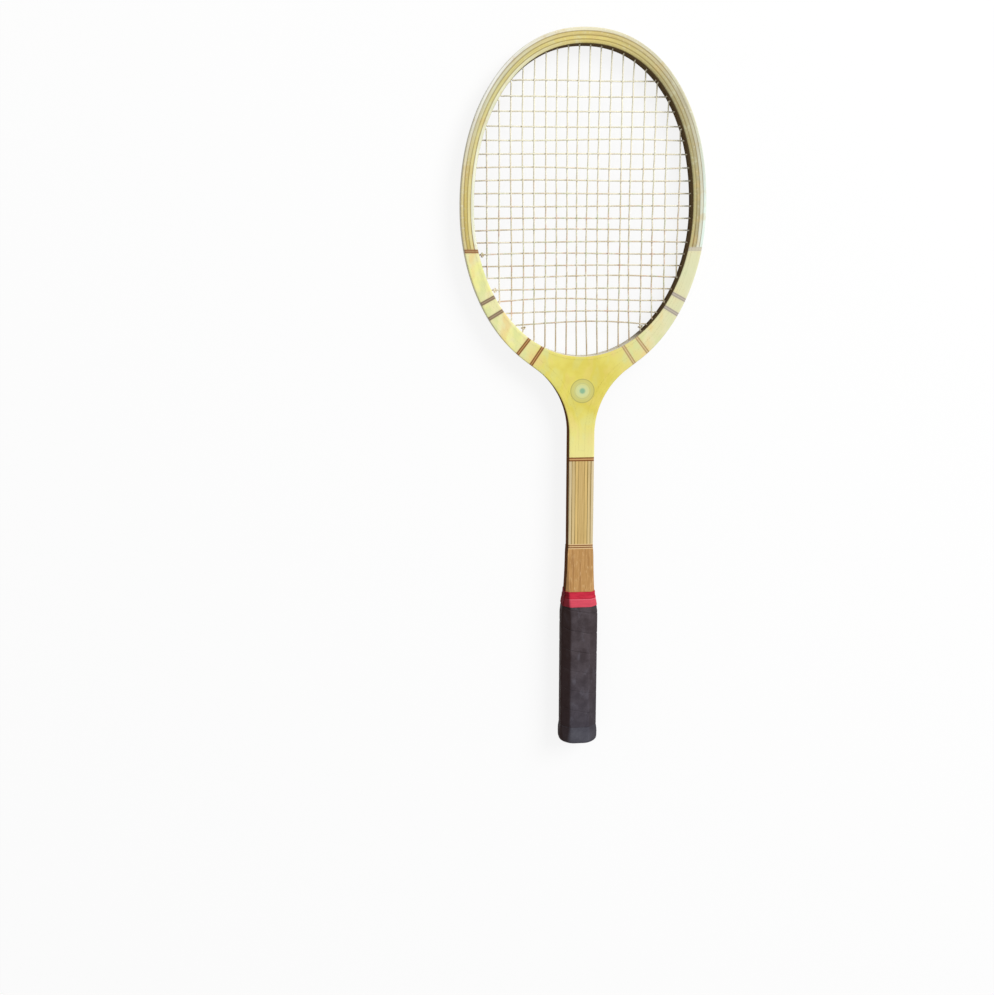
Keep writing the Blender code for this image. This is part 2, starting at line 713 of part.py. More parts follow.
mains = main_ends()
crosses = cross_ends()
rows = [
    (ROW_OFFSET, [end for pair in mains for end in pair]),
    (-ROW_OFFSET, [end for pair in crosses for end in pair]),
]
holes = make_hole_cutter(rows)
groove = channel_cutter(
    "string_groove", groove_stretch(bow_line(GROOVE_DEPTH)), groove_stretch(bow_line(-GROOVE_DEPTH)),
)
channel = channel_cutter(
    "wedge_channel",
    ring_line(RING_AND_GLUE + GROOVE_DEPTH, channel_angles()), ring_line(PLY, channel_angles()),
)

ring = make_ring_ply(white_ash)
outer = make_bow_ply("bow_ply_outer", 0, pale_ash)
middle = make_bow_ply("bow_ply_middle", 1, gold_ash)
inner = make_bow_ply("bow_ply_inner", 2, gold_ash)
wedge = make_wedge(throat_paint)
make_core(core_wood)
for piece in (ring, outer, middle, inner, wedge):
    cut(piece, holes)
cut(outer, groove)
cut(wedge, channel)

make_face_cheek("handle_cheek_front", 1, veneer)
make_face_cheek("handle_cheek_back", -1, veneer)
make_side_cheek("handle_cheek_right", 1, veneer)
make_side_cheek("handle_cheek_left", -1, veneer)
make_butt_cap(cap_leather)
make_grip(leather)
make_collar(red_tape)

tube("main_string", serpentine(main_places(), 0, mains, cross_places(), 1), gut)
tube("cross_string", serpentine(cross_places(), 1, crosses, main_places(), -1), gut)
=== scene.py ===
"""Looks of a wooden tennis racket: laminated hoop, painted throat, wound leather grip, woven gut.

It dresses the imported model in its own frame, in metres. The origin is the middle of the butt's end
face, +Y runs along the racket to the tip, +X across it and +Z out of the front face.
"""
import math

import bmesh
import bpy
import numpy as np
from mathutils import Matrix


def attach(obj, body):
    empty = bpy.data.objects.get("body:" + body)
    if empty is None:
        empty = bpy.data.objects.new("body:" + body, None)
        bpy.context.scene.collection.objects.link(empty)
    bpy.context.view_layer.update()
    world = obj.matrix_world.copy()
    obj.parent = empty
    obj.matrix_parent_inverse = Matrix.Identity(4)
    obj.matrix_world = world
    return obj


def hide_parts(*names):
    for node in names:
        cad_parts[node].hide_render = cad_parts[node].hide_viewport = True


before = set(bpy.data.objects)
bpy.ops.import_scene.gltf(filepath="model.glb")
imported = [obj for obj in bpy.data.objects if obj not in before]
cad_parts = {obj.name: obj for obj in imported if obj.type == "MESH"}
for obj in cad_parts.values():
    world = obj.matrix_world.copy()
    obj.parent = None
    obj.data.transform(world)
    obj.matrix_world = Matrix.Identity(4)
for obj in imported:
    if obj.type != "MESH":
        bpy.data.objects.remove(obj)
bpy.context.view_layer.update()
MM = 0.001


# ------------------------------
# Ring ply. A strip of pale ash that lines the opening all round, bent in steam and glued inside the
# bow. Its two edges at the opening are rounded over. Most of its inner wall is dark brown, partly stain
# and partly painted shade, and on the lower left it is pale, partly painted light.

OPENING_HALF_WIDTH = 102.2 * MM
OPENING_ABOVE = 146.0 * MM
OPENING_BELOW = 134.7 * MM
CROWN_POWER = 2.16
CROWN_SWELL = 1.13
HEAD_Y = 525.901 * MM
HALF_DEPTH = 9.4 * MM
PLY = 2.85 * MM
GLUE_LINE = 0.3 * MM
SQUEEZE = 0.145 * MM
EDGE_ROUND = 1.1 * MM
ROUND_TURNS = [0, 22, 45, 67, 90]
ARRIS = 0.05 * MM
RING_STATIONS = 440
SHARP = 32.0


def oval(half_width, above, below, angles):
    """The head's oval in plan, by direction from its middle.

    Its radius is ((|cos| / a)^p + (|sin| / b)^p)^(-1/p), with p = 2 below the middle and more above it.
    """
    across = np.cos(angles)
    along = np.sin(angles)
    height = np.where(along >= 0, above, below)
    power = np.where(along >= 0, CROWN_POWER, 2.0)
    radius = ((np.abs(across) / half_width) ** power + (np.abs(along) / height) ** power) ** (-1 / power)
    return np.column_stack([radius * across, HEAD_Y + radius * along])


def ring_line(outward, angles):
    """The plan line that lies outward of the opening's edge, a little further out at the crown."""
    sizes = OPENING_HALF_WIDTH + outward, OPENING_ABOVE + outward * CROWN_SWELL, OPENING_BELOW + outward
    return oval(*sizes, angles)


def run_of(points, wraps=False):
    """Distance of each point of a row from the first, once more at the end where the row wraps."""
    row = np.concatenate([points, points[:1]]) if wraps else points
    return np.concatenate([[0], np.cumsum(np.linalg.norm(np.diff(row, axis=0), axis=1))])


def full_turn(count):
    """As many directions, evenly round a full turn."""
    return np.linspace(0, 2 * math.pi, count, endpoint=False)


def unit(ways):
    """The ways, each made one long."""
    return ways / np.linalg.norm(ways, axis=-1, keepdims=True)


def settle(name, mesh, sharp=SHARP):
    """An object for a mesh, its faces turned outwards and smooth up to an angle in degrees."""
    work = bmesh.new()
    work.from_mesh(mesh)
    bmesh.ops.recalc_face_normals(work, faces=work.faces)
    work.to_mesh(mesh)
    work.free()
    mesh.shade_smooth()
    mesh.set_sharp_from_angle(angle=math.radians(sharp))
    piece = bpy.data.objects.new(name, mesh)
    bpy.context.scene.collection.objects.link(piece)
    return piece


def skin(name, points, across=None, wraps=(False, True), sharp=SHARP):
    """A closed body whose skin is a grid of points: rows run along the piece, columns go round it.

    The UV map holds, in metres, the distance along the piece and a distance across it, which is the
    distance round the piece where none is given. Rows that don't wrap are closed by a face at each end.
    """
    rows, columns = points.shape[:2]
    along = run_of(points.mean(axis=1), wraps[0])
    across = run_of(points[rows // 2], wraps[1]) if across is None else np.append(across, across[:1])
    high, wide = np.meshgrid(np.arange(len(along) - 1), np.arange(len(across) - 1), indexing="ij")
    step = np.array([[0, 0], [1, 0], [1, 1], [0, 1]])
    row = high[..., None] + step[:, 0]
    column = wide[..., None] + step[:, 1]
    faces = ((row % rows) * columns + column % columns).reshape(-1, 4).tolist()
    if not wraps[0]:
        faces += [list(range(columns)), list(range((rows - 1) * columns, rows * columns))]
    mesh = bpy.data.meshes.new(name)
    mesh.from_pydata(points.reshape(-1, 3).tolist(), [], faces)
    lay = np.zeros((len(mesh.loops), 2))
    lay[:row.size] = np.stack([along[row], across[column]], axis=-1).reshape(-1, 2)
    mesh.uv_layers.new(name="lay").data.foreach_set("uv", lay.astype(np.float32).ravel())
    return settle(name, mesh, sharp)


def dress(piece, material, slot, *nodes):
    """Give a piece its finish, and let it stand for its part of the model."""
    piece.data.materials.clear()
    piece.data.materials.append(material)
    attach(piece, "root")
    if nodes:
        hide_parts(*nodes)


def at_height(plan, z):
    """Points of the plan, all at one height."""
    return np.column_stack([plan, np.full(len(plan), z)])


def extruded(lines, heights):
    """Grid points from plan lines, one for each column of the profile, each at its own height."""
    return np.stack([at_height(line, z) for line, z in zip(lines, heights)], axis=1)


def rounded_edge():
    """A quarter circle at the profile's edge, from the wall to the face: offsets inward and heights."""
    turn = np.radians(ROUND_TURNS)
    return EDGE_ROUND * (1 - np.cos(turn)), HALF_DEPTH - EDGE_ROUND + EDGE_ROUND * np.sin(turn)


def mirrored(offsets, tops):
    """The whole profile from its upper half: offsets and heights, down to the lower side and back."""
    return np.concatenate([offsets, offsets[::-1]]), np.concatenate([tops, -tops[::-1]])


outwards, tops = rounded_edge()
outwards = np.append(outwards, [PLY + SQUEEZE - ARRIS, PLY + SQUEEZE])
outwards, heights = mirrored(outwards, np.append(tops, [HALF_DEPTH, HALF_DEPTH - ARRIS]))
ring_angles = full_turn(RING_STATIONS) - math.pi / 2
ring_points = extruded([ring_line(d, ring_angles) for d in outwards], heights)
ring = skin("ring_ply", ring_points, outwards, (True, True))


class Wire:
    """A value that runs from one node of a material to others. Sums on wires lay further nodes."""

    def __init__(self, tree, socket):
        self.tree = tree
        self.socket = socket

    def __add__(self, other):
        return reckon("ADD", self, other)

    def __sub__(self, other):
        return reckon("SUBTRACT", self, other)

    def __mul__(self, other):
        return reckon("MULTIPLY", self, other)

    def __abs__(self):
        return reckon("ABSOLUTE", self)


def shade(red, green, blue):
    """A colour as it looks on a screen, from 0 to 255, turned into light."""
    value = np.array([red, green, blue]) / 255
    light = np.where(value <= 0.04045, value / 12.92, ((value + 0.055) / 1.055) ** 2.4)
    return (*light.tolist(), 1.0)


def feed(socket, value):
    """Link a socket to a wire, or set it to a number, a vector, a light or a screen's colour."""
    if isinstance(value, Wire):
        value.tree.links.new(value.socket, socket)
    elif isinstance(value, tuple):
        light = shade(*value) if socket.type == "RGBA" and len(value) == 3 else value
        socket.default_value = light[:len(socket.default_value)]
    else:
        socket.default_value = value


def wired(kind, inputs, output=0, **settings):
    """The output of a new node of a kind, with its settings and its inputs, at least one of them a wire."""
    tree = next(value.tree for value in inputs.values() if isinstance(value, Wire))
    node = tree.nodes.new("ShaderNode" + kind)
    for key, setting in settings.items():
        setattr(node, key, setting)
    for key, value in inputs.items():
        feed(node.inputs[key], value)
    return Wire(tree, node.outputs[output])


def reckon(operation, *values):
    """The result of one sum on numbers or wires."""
    return wired("Math", dict(enumerate(values)), operation=operation)


def scaled(vector, factor):
    """A vector or colour times one number, or times three."""
    if isinstance(factor, tuple):
        return wired("VectorMath", {0: vector, 1: factor}, operation="MULTIPLY")
    return wired("VectorMath", {0: vector, "Scale": factor}, operation="SCALE")


def blend(share, first, second):
    """The first colour where the share is 0, the second where it is 1."""
    return wired("Mix", {0: share, 6: first, 7: second}, 2, data_type="RGBA")


def layered(colour, *layers):
    """A colour under thin layers, each a share and an ink."""
    for share, ink in layers:
        colour = blend(share, colour, ink)
    return colour


def between(share, first, second):
    """The number that lies a share of the way from the first to the second."""
    return wired("Mix", {0: share, 2: first, 3: second})


def ramp(value, low, high, start=0.0, end=1.0):
    """A smooth rise from start to end while the value goes from low to high."""
    return wired("MapRange", {0: value, 1: low, 2: high, 3: start, 4: end}, interpolation_type="SMOOTHSTEP")


def mottle(vector, detail=3.0, roughness=0.55):
    """Soft noise from 0 to 1 with features about one unit of the vector across."""
    return wired("TexNoise", {"Vector": vector, "Scale": 1.0, "Detail": detail, "Roughness": roughness})


def split(vector):
    """The three parts of a vector."""
    first = wired("SeparateXYZ", {0: vector})
    return [Wire(first.tree, socket) for socket in first.socket.node.outputs]


def new_finish(name, coat=0.0):
    """A material, its place in the frame and its lay on the piece, in millimetres, and its facing."""
    material = bpy.data.materials.new(name)
    material.use_nodes = True
    tree = material.node_tree
    for socket, value in (("Specular IOR Level", 0.12), ("Coat Weight", coat), ("Coat Roughness", 0.22)):
        feed(tree.nodes["Principled BSDF"].inputs[socket], value)
    ways = tree.nodes.new("ShaderNodeTexCoord").outputs
    lay_node = tree.nodes.new("ShaderNodeUVMap")
    lay_node.uv_map = "lay"
    place, lay = (scaled(Wire(tree, socket), 1 / MM) for socket in (ways["Object"], lay_node.outputs[0]))
    return material, place, lay, split(Wire(tree, ways["Normal"]))


def finished(material, colour, roughness, relief, depth, strength=0.5):
    """The material with its colour, its roughness and a relief that is a depth in metres high."""
    inputs = material.node_tree.nodes["Principled BSDF"].inputs
    feed(inputs["Base Color"], colour)
    feed(inputs["Roughness"], roughness)
    feed(inputs["Normal"], wired("Bump", {"Strength": strength, "Distance": depth, "Height": relief}))
    return material


def face_share(facing):
    """1 on the front and back faces, 0 on the walls between them."""
    return ramp(abs(facing[2]), 0.2, 0.55)


# Bands across the throat's paint, as they lie on the right: x and y in millimetres at the outer and the
# inner end, then how much further up the hoop each lies on the left and on the right. After the bands
# come the colours of their lines and of what lies between, each on the left and on the right.
BANDS = [
    ([((111.4, 490.6), (99.8, 490.6), -1.3, 0.0)],
     (158, 114, 76), (200, 192, 170), (178, 138, 98), (212, 204, 180)),
    ([((62.4, 394.7), (52.1, 407.8), -0.5, 0.0), ((49.1, 385.1), (39.3, 399.7), -0.4, 0.0)],
     (138, 88, 44), (186, 158, 108), (192, 146, 94), (220, 196, 152)),
    ([((97.2, 441.7), (85.1, 448.2), -1.1, 1.2), ((90.4, 428.4), (77.4, 436.2), -1.7, 1.1)],
     (138, 116, 92), (170, 160, 148), (168, 146, 122), (194, 184, 170)),
]
BAND_REACH = 14.0
BAND_FALL = 9.0
PAINT_LOW = 292.6
PAINT_TOP = 489.4
SHAFT_LINES_HIGH = 292.5
SHAFT_LINES_LOW = 205.7
SHAFT_TOP = 285.0
DISC_Y = 358.7
GLOW_Y = 362.0
STAIN = (92, 54, 16)

# The disc's rings, from below: radius and half width in millimetres, strength and colour.
DISC_RINGS = [
    (9.3, 2.2, 0.75, (206, 202, 124)), (11.2, 0.4, 0.5, (150, 146, 80)), (7.2, 0.35, 0.4, (150, 152, 96)),
    (0.0, 6.8, 0.85, (212, 222, 168)), (0.0, 2.6, 0.75, (112, 176, 148)),
]

# The range of values in which most of a soft noise lies.
NOISE = (0.3, 0.7)


def band_distance(far, y, right, band):
    """Distance from the middle of a band that crosses the hoop, growing fast beyond the hoop's width."""
    first, second = np.array(band[0]), np.array(band[1])
    middle = (first + second) / 2
    way = unit(second - first)
    out, up = far - middle[0], y - middle[1]
    off = out * way[1] - up * way[0] - between(right, band[2], band[3])
    beyond = reckon("MAXIMUM", abs(out * way[0] + up * way[1]) - BAND_REACH, 0.0)
    return abs(off) + beyond * BAND_FALL


def line_at(distance, offset, half_width):
    """1 on a thin line that lies an offset away from the middle of a band, 0 off it."""
    return ramp(abs(distance - offset), half_width * 0.6, half_width * 1.4, 1.0, 0.0)


def distance_from(x, y, height):
    """Distance in plan from the point of the middle line at a height."""
    up = y - height
    return reckon("SQRT", x * x + up * up)


def shaft_lines(y, colour):
    """Two pairs of brown lines across the shaft, the lower pair between pale ones, laid over a colour."""
    upper, lower = abs(y - SHAFT_LINES_HIGH), abs(y - SHAFT_LINES_LOW)
    return layered(
        colour,
        (ramp(upper, 1.35, 1.75, 1.0, 0.0), (212, 166, 112)), (line_at(upper, 1.25, 0.65), (132, 82, 40)),
        (ramp(lower, 2.2, 2.7, 1.0, 0.0), (230, 198, 148)), (line_at(lower, 1.0, 0.55), (134, 84, 42)),
    )


def throat_paint(place, x, y, right):
    """The throat's mottled yellow: warm and clouded near the disc, paler up the hoop, cooler on the right."""
    cloud = ramp(mottle(scaled(place, 0.045), 3.0, 0.6), 0.34, 0.66)
    patch = mottle(scaled(place, (0.09, 0.05, 0.09)), 2.0, 0.5)
    away = distance_from(x, y, GLOW_Y)
    hoop = blend(right, (246, 243, 160), (231, 224, 166))
    hoop = blend(ramp(cloud, 0.0, 1.0, 0.0, 0.7), hoop, (238, 232, 186))
    faded = ramp(away, 20.0, 60.0, 0.2, 0.6)
    return layered(
        blend(cloud, (233, 221, 107), (223, 208, 93)),
        (ramp(away, 24.0, 86.0), hoop),
        (ramp(patch, 0.52, 0.66) * faded, (218, 226, 160)),
        (ramp(patch, 0.48, 0.34) * faded, (242, 212, 140)),
        (ramp(x, 50.0, 104.0, 0.0, 0.7), (222, 224, 188)),
        (ramp(y, 345.0, 296.0, 0.0, 0.85), (241, 232, 149)),
    )


def throat_colour(place, wood):
    """The throat's paint, its double bands, the shaft's lines and the ringed disc, laid over the wood."""
    x, y, z = split(place)
    far = abs(x)
    right = ramp(x, -20.0, 20.0)
    painted = ramp(y, PAINT_LOW - 0.2, PAINT_LOW + 0.2) * ramp(y, PAINT_TOP + 0.3, PAINT_TOP - 0.3)
    colour = blend(painted, wood, throat_paint(place, x, y, right))
    for bands, left_line, right_line, left_fill, right_fill in BANDS:
        nearest = band_distance(far, y, right, bands[0])
        for band in bands[1:]:
            nearest = reckon("MINIMUM", nearest, band_distance(far, y, right, band))
        fill = blend(right, left_fill, right_fill)
        colour = layered(
            colour,
            (ramp(nearest, 1.2, 3.4, 0.32, 0.0), fill), (ramp(nearest, 1.0, 1.5, 0.9, 0.0), fill),
            (line_at(nearest, 1.05, 0.6), blend(right, left_line, right_line)),
        )
    colour = shaft_lines(y, colour)
    radius = distance_from(x, y, DISC_Y)
    front = ramp(z, 8.0, 9.0)
    for offset, half_width, strength, ink in DISC_RINGS:
        colour = blend(line_at(radius, offset, half_width) * strength * front, colour, ink)
    return colour, painted


def tinted(x, y, tints):
    """A colour by direction round the head, from the left over the tip to the right."""
    turn = reckon("ARCTAN2", x, y - HEAD_Y / MM)
    wire = wired("ValToRGB", {0: reckon("MULTIPLY_ADD", turn, 0.5 / math.pi, 0.5)})
    stripe = wire.socket.node.color_ramp
    stripe.interpolation = "EASE"
    stripe.elements[0].color, stripe.elements[1].color = shade(*tints[0]), shade(*tints[-1])
    for degrees, colour in zip((-90, -35, 0, 40, 90), tints):
        stripe.elements.new(0.5 + degrees / 360).color = shade(*colour)
    return wire


def ply_finish(name, tints, shaft, joints, wall, worn=0.3, pale_wall=None):
    """Varnished ash: tints round the head and one for the shaft, fibres along the ply, glue at its joints.

    The tints belong to the head's left, upper left, tip, upper right and right. The joints are distances
    across the ply, in millimetres. Worn is how much the varnish has chipped to pale flecks round the head.
    The wall's dark brown gives way to a pale colour over the stretch that the last argument, a function of x
    and y, gives as a share.
    """
    material, place, lay, facing = new_finish(name)
    x, y, z = split(place)
    along, across, _ = split(lay)
    face = face_share(facing)
    deep = between(face, z, across)
    fibre = mottle(wired("CombineXYZ", {0: along * 0.045, 1: deep * 2.4, 2: 3.0}), 5.0, 0.6)
    streak = mottle(wired("CombineXYZ", {0: along * 0.016, 1: deep * 1.1, 2: 8.0}), 3.0, 0.5)
    flake = mottle(scaled(place, 0.55), 5.0, 0.7)
    tone = mottle(scaled(place, 0.08), 3.0, 0.6)
    wood = layered(
        tinted(x, y, tints),
        (ramp(tone, 0.54, 0.70, 0.0, 0.4), (222, 226, 196)),
        (ramp(tone, 0.46, 0.30, 0.0, 0.4), (218, 190, 124)),
        (ramp(y, 330.0, SHAFT_TOP), shaft),
    )
    wood = scaled(wood, ramp(fibre, *NOISE, 0.88, 1.07) + ramp(streak, 0.32, 0.68, -0.12, 0.09))
    distances = [abs(across - joint) for joint in joints]
    distance = reckon("MINIMUM", *distances) if len(distances) > 1 else distances[0]
    glue = ramp(distance - ramp(streak, *NOISE, -0.1, 0.35), -0.1, 0.35, 1.0, 0.0)
    wood = layered(
        wood,
        (ramp(flake, 0.56, 0.68, 0.0, worn) * ramp(y, 300.0, 330.0), (244, 242, 230)),
        (glue * ramp(y, 330.0, SHAFT_TOP, 0.6, 0.85), (136, 110, 54)),
    )
    colour, painted = throat_colour(place, wood)
    dark = scaled(shade(*wall), ramp(fibre, *NOISE, 0.75, 1.25))
    if pale_wall:
        dark = blend(pale_wall(x, y), dark, scaled(shade(250, 243, 222), ramp(fibre, *NOISE, 0.93, 1.02)))
    roughness = between(face, 1.0, ramp(fibre, *NOISE, 0.55, 0.42))
    return finished(material, blend(face, dark, colour), roughness, between(painted, fibre, 0.5), 0.06 * MM)


def low_left(x, y):
    """1 on the lower left of the opening, where the wall is pale, partly painted light, 0 elsewhere."""
    return ramp(x, 60.0, 44.0) * ramp(y, 480.0, 450.0)


RING_TINTS = [(246, 247, 222), (238, 236, 200), (218, 201, 126), (172, 163, 119), (195, 185, 133)]
# The inner wall's dark brown (99, 80, 52) is partly stain and partly painted shade; its pale lower left is
# partly painted light.
ring_wood = ply_finish("white_ash", RING_TINTS, (206, 176, 112), [PLY / MM], (99, 80, 52), pale_wall=low_left)
dress(ring, ring_wood, "ring_wood", "inner_ring_ply")


# ------------------------------
# Bow plies. Three strips of ash, bent together round the head, whose ends close in at the throat and
# run side by side down to the butt. The outermost has rounded edges and a groove for the strings.

BOW_PLIES = 3
BOW_SPREAD = 10.5 * MM
THROAT_SLOPE = math.radians(37.0)
THROAT_RADIUS = 77.0 * MM
CORE_WIDTH = 5.6 * MM
WOOD_FOOT = 3.5 * MM
BOW_WIDTH = BOW_PLIES * PLY + (BOW_PLIES - 1) * GLUE_LINE
HOOP_WIDTH = PLY + GLUE_LINE + BOW_WIDTH
BOW_HALF_WIDTH = OPENING_HALF_WIDTH + HOOP_WIDTH
BOW_ABOVE = OPENING_ABOVE + HOOP_WIDTH * CROWN_SWELL
BOW_BELOW = OPENING_BELOW + HOOP_WIDTH + BOW_SPREAD
SHAFT_HALF = CORE_WIDTH / 2 + BOW_PLIES * (PLY + GLUE_LINE)
SHAFT_STATIONS = 44
ARC_STATIONS = 30
STRAIGHT_STATIONS = 14
LOWER_STATIONS = 70
UPPER_STATIONS = 110
GROOVE_DEPTH = 1.8 * MM
GROOVE_HALF = 2.325 * MM
GROOVE_LIP = 0.2 * MM


def touch_point(inward):
    """Where the throat's straight run touches the lower ellipse, from the head's widest line."""
    half_width = BOW_HALF_WIDTH - inward
    below = BOW_BELOW - inward
    turn = math.atan2(below, half_width * math.tan(THROAT_SLOPE))
    return half_width * math.cos(turn), -below * math.sin(turn)


def both_sides(right):
    """A whole plan line from its right half, which ends on the middle line."""
    return np.vstack([right, right[:-1][::-1] * [-1, 1]])


def bow_line(inward, foot=WOOD_FOOT):
    """The plan line inward of the bow's outer face, from the right foot round the head to the left foot.

    Half of it is a straight shaft, an arc that turns it outwards, a straight run at the throat's slope,
    an ellipse that this run touches, and the fuller crown.
    """
    x, y = touch_point(inward)
    slope = math.tan(THROAT_SLOPE)
    radius = THROAT_RADIUS + inward
    centre = np.array([SHAFT_HALF - inward + radius, 0.0])
    centre[1] = HEAD_Y + y + slope * (centre[0] - x) - radius * math.hypot(1, slope)
    sweep = np.linspace(math.pi, math.pi / 2 + THROAT_SLOPE, ARC_STATIONS)
    arc = centre + radius * np.column_stack([np.cos(sweep), np.sin(sweep)])
    shaft = np.linspace([SHAFT_HALF - inward, foot], arc[0], SHAFT_STATIONS)[:-1]
    low = np.linspace(math.atan2(y, x), 0, LOWER_STATIONS)
    high = np.linspace(0, math.pi / 2, UPPER_STATIONS)[1:]
    sizes = BOW_HALF_WIDTH - inward, BOW_ABOVE - inward * CROWN_SWELL, BOW_BELOW - inward
    head = oval(*sizes, np.concatenate([low, high]))
    straight = np.linspace(arc[-1], head[0], STRAIGHT_STATIONS)[1:-1]
    return both_sides(np.vstack([shaft, arc, straight, head]))


def grooved(edge):
    """The bottom edge of the string groove: the edge sunk by the groove's depth, run out at the throat."""
    first = SHAFT_STATIONS - 1 + ARC_STATIONS
    position = np.arange(len(edge))
    inner = np.minimum(position - first, len(edge) - 1 - first - position)
    sunk = np.clip(inner / STRAIGHT_STATIONS, 0, 1)[:, None]
    result = edge.copy()
    result[:, :2] += (bow_line(GROOVE_DEPTH) - edge[:, :2]) * sunk
    return result


def bow_ply(name, number):
    """One bow ply, counted from the outside; the outermost gets its rounded edges and its groove."""
    start = number * (PLY + GLUE_LINE)
    end = start + PLY + SQUEEZE
    if number:
        start -= SQUEEZE
        inward = np.array([start, start + ARRIS, end - ARRIS, end])
        tops = np.array([HALF_DEPTH - ARRIS, HALF_DEPTH, HALF_DEPTH, HALF_DEPTH - ARRIS])
    else:
        inward, tops = rounded_edge()
        inward = [0.0, 0.0, *inward, end - ARRIS, end]
        tops = np.array([GROOVE_HALF, GROOVE_HALF + GROOVE_LIP, *tops, HALF_DEPTH, HALF_DEPTH - ARRIS])
    inward, heights = mirrored(inward, tops)
    points = extruded([bow_line(d) for d in inward], heights)
    if number == 0:
        points[:, 0], points[:, -1] = grooved(points[:, 0]), grooved(points[:, -1])
    return skin(name, points, inward)


def above_stain(x, y):
    """1 above the throat's lowest bands, where the bow's outer wall was left pale, 0 below them."""
    return ramp(y, 393.0, 395.5)


BOW = [
    ("bow_ply_outside", "bow_ply_outer", "grey_ash", "outer_wood", (224, 204, 160), 0.8, above_stain,
     [(225, 210, 151), (244, 243, 234), (234, 227, 194), (208, 203, 172), (228, 243, 233)]),
    ("bow_ply_between", "bow_ply_middle", "olive_ash", "bow_wood", (222, 196, 140), 0.3, None,
     [(210, 190, 112), (219, 215, 180), (222, 203, 130), (194, 187, 156), (222, 224, 204)]),
    ("bow_ply_inside", "bow_ply_inner", "gold_ash", "bow_wood", (226, 194, 126), 0.3, None,
     [(232, 219, 152), (218, 208, 143), (226, 208, 127), (188, 180, 138), (180, 171, 130)]),
]
bow = []
for number, (name, node, wood, slot, shaft, worn, pale_wall, tints) in enumerate(BOW):
    near = number * (PLY + GLUE_LINE) / MM
    joints = [near, near + PLY / MM] if number else [PLY / MM]
    bow.append(bow_ply(name, number))
    dress(bow[-1], ply_finish(wood, tints, shaft, joints, STAIN, worn, pale_wall), slot, node)


# ------------------------------
# Throat wedge. A block of hardwood fitted between ring ply and bow, with a thin horn up each side
# and a tail between the legs of the bow. The middle main strings turn in a channel cut in its top.

WEDGE_TAIL = 16.0 * MM
WEDGE_GAP = SQUEEZE + 0.04 * MM
HORN_TIP = 0.08 * MM
WEDGE_TOP_STATIONS = 90


def wedge_foot():
    """Height at which the wedge's tail ends and the shaft core begins."""
    return bow_line(BOW_WIDTH + GLUE_LINE)[SHAFT_STATIONS - 1][1] - WEDGE_TAIL


def slab(name, outline):
    """A flat block with a plan outline, as deep as the frame."""
    count = len(outline)
    points = np.concatenate([at_height(outline, z) for z in (-HALF_DEPTH, HALF_DEPTH)])
    here = np.arange(count)
    after = (here + 1) % count
    walls = np.column_stack([here, after, count + after, count + here]).tolist()
    mesh = bpy.data.meshes.new(name)
    mesh.from_pydata(points.tolist(), [], walls + [here.tolist(), (count + here).tolist()])
    mesh.uv_layers.new(name="lay")
    return settle(name, mesh)


def wedge_outline():
    """The wedge's plan: down the inside of the bow on both sides, and back along the ring ply."""
    side = bow_line(BOW_WIDTH + WEDGE_GAP, wedge_foot())[SHAFT_STATIONS - 1:]
    right = side[:ARC_STATIONS + STRAIGHT_STATIONS - 2 + LOWER_STATIONS]
    turn = np.arctan2(right[:, 1] - HEAD_Y, right[:, 0])
    thick = np.linalg.norm(right - ring_line(PLY + WEDGE_GAP, turn), axis=1) > HORN_TIP
    top = ring_line(PLY + WEDGE_GAP, np.linspace(turn[thick][-1], -math.pi / 2, WEDGE_TOP_STATIONS))
    foot = np.array([[SHAFT_HALF - BOW_WIDTH - WEDGE_GAP, wedge_foot()]])
    return both_sides(np.vstack([foot, right[thick], top]))


def throat_finish(name):
    """Yellow paint over hardwood, rubbed thin in places."""
    material, place, _, facing = new_finish(name)
    grain = mottle(scaled(place, (1.4, 0.05, 1.4)), 4.0, 0.6)
    colour, painted = throat_colour(place, scaled(shade(176, 132, 76), ramp(grain, *NOISE, 0.8, 1.15)))
    colour = blend(face_share(facing), scaled(shade(*STAIN), ramp(grain, *NOISE, 0.75, 1.25)), colour)
    relief = between(painted, grain, 0.5)
    return finished(material, colour, ramp(grain, *NOISE, 0.5, 0.42), relief, 0.06 * MM, 0.4)


wedge = slab("throat_block", wedge_outline())
dress(wedge, throat_finish("throat_paint"), "throat_paint", "throat_wedge")


# ------------------------------
# Shaft core. The strip of darker hardwood glued between the two legs of the bow, from the wedge's
# tail down to the butt.

CORE_STATIONS = 60
CORE_GAP = 0.06 * MM
core_half = CORE_WIDTH / 2 + SQUEEZE
core_y = np.linspace(WOOD_FOOT, wedge_foot() - CORE_GAP, CORE_STATIONS)
core_corners = [(side * core_half, up * HALF_DEPTH) for side, up in ((-1, 1), (-1, -1), (1, -1), (1, 1))]


def columns_along(y, columns):
    """Grid points of a straight piece from the columns of its section, each an x and a z at heights y."""
    level = np.ones(len(y))
    return np.stack([np.column_stack([x * level, y, z * level]) for x, z in columns], axis=1)


def core_finish(name):
    """Hardwood with straight grain along the shaft."""
    material, place, _, _ = new_finish(name)
    grain = mottle(scaled(place, (1.9, 0.04, 1.9)), 5.0, 0.6)
    wood = blend(ramp(grain, 0.32, 0.68), (216, 186, 124), (196, 164, 102))
    colour, painted = throat_colour(place, wood)
    return finished(material, colour, ramp(grain, *NOISE, 0.5, 0.38), between(painted, grain, 0.5), 0.08 * MM)


core = skin("core_strip", columns_along(core_y, core_corners))
dress(core, core_finish("core_wood"), "core_wood", "shaft_core")


# ------------------------------
# Stringing holes. The hoop is drilled after it is glued up, straight outwards from the opening:
# one row of holes for the main strings, and one, nearer the back, for the crosses.

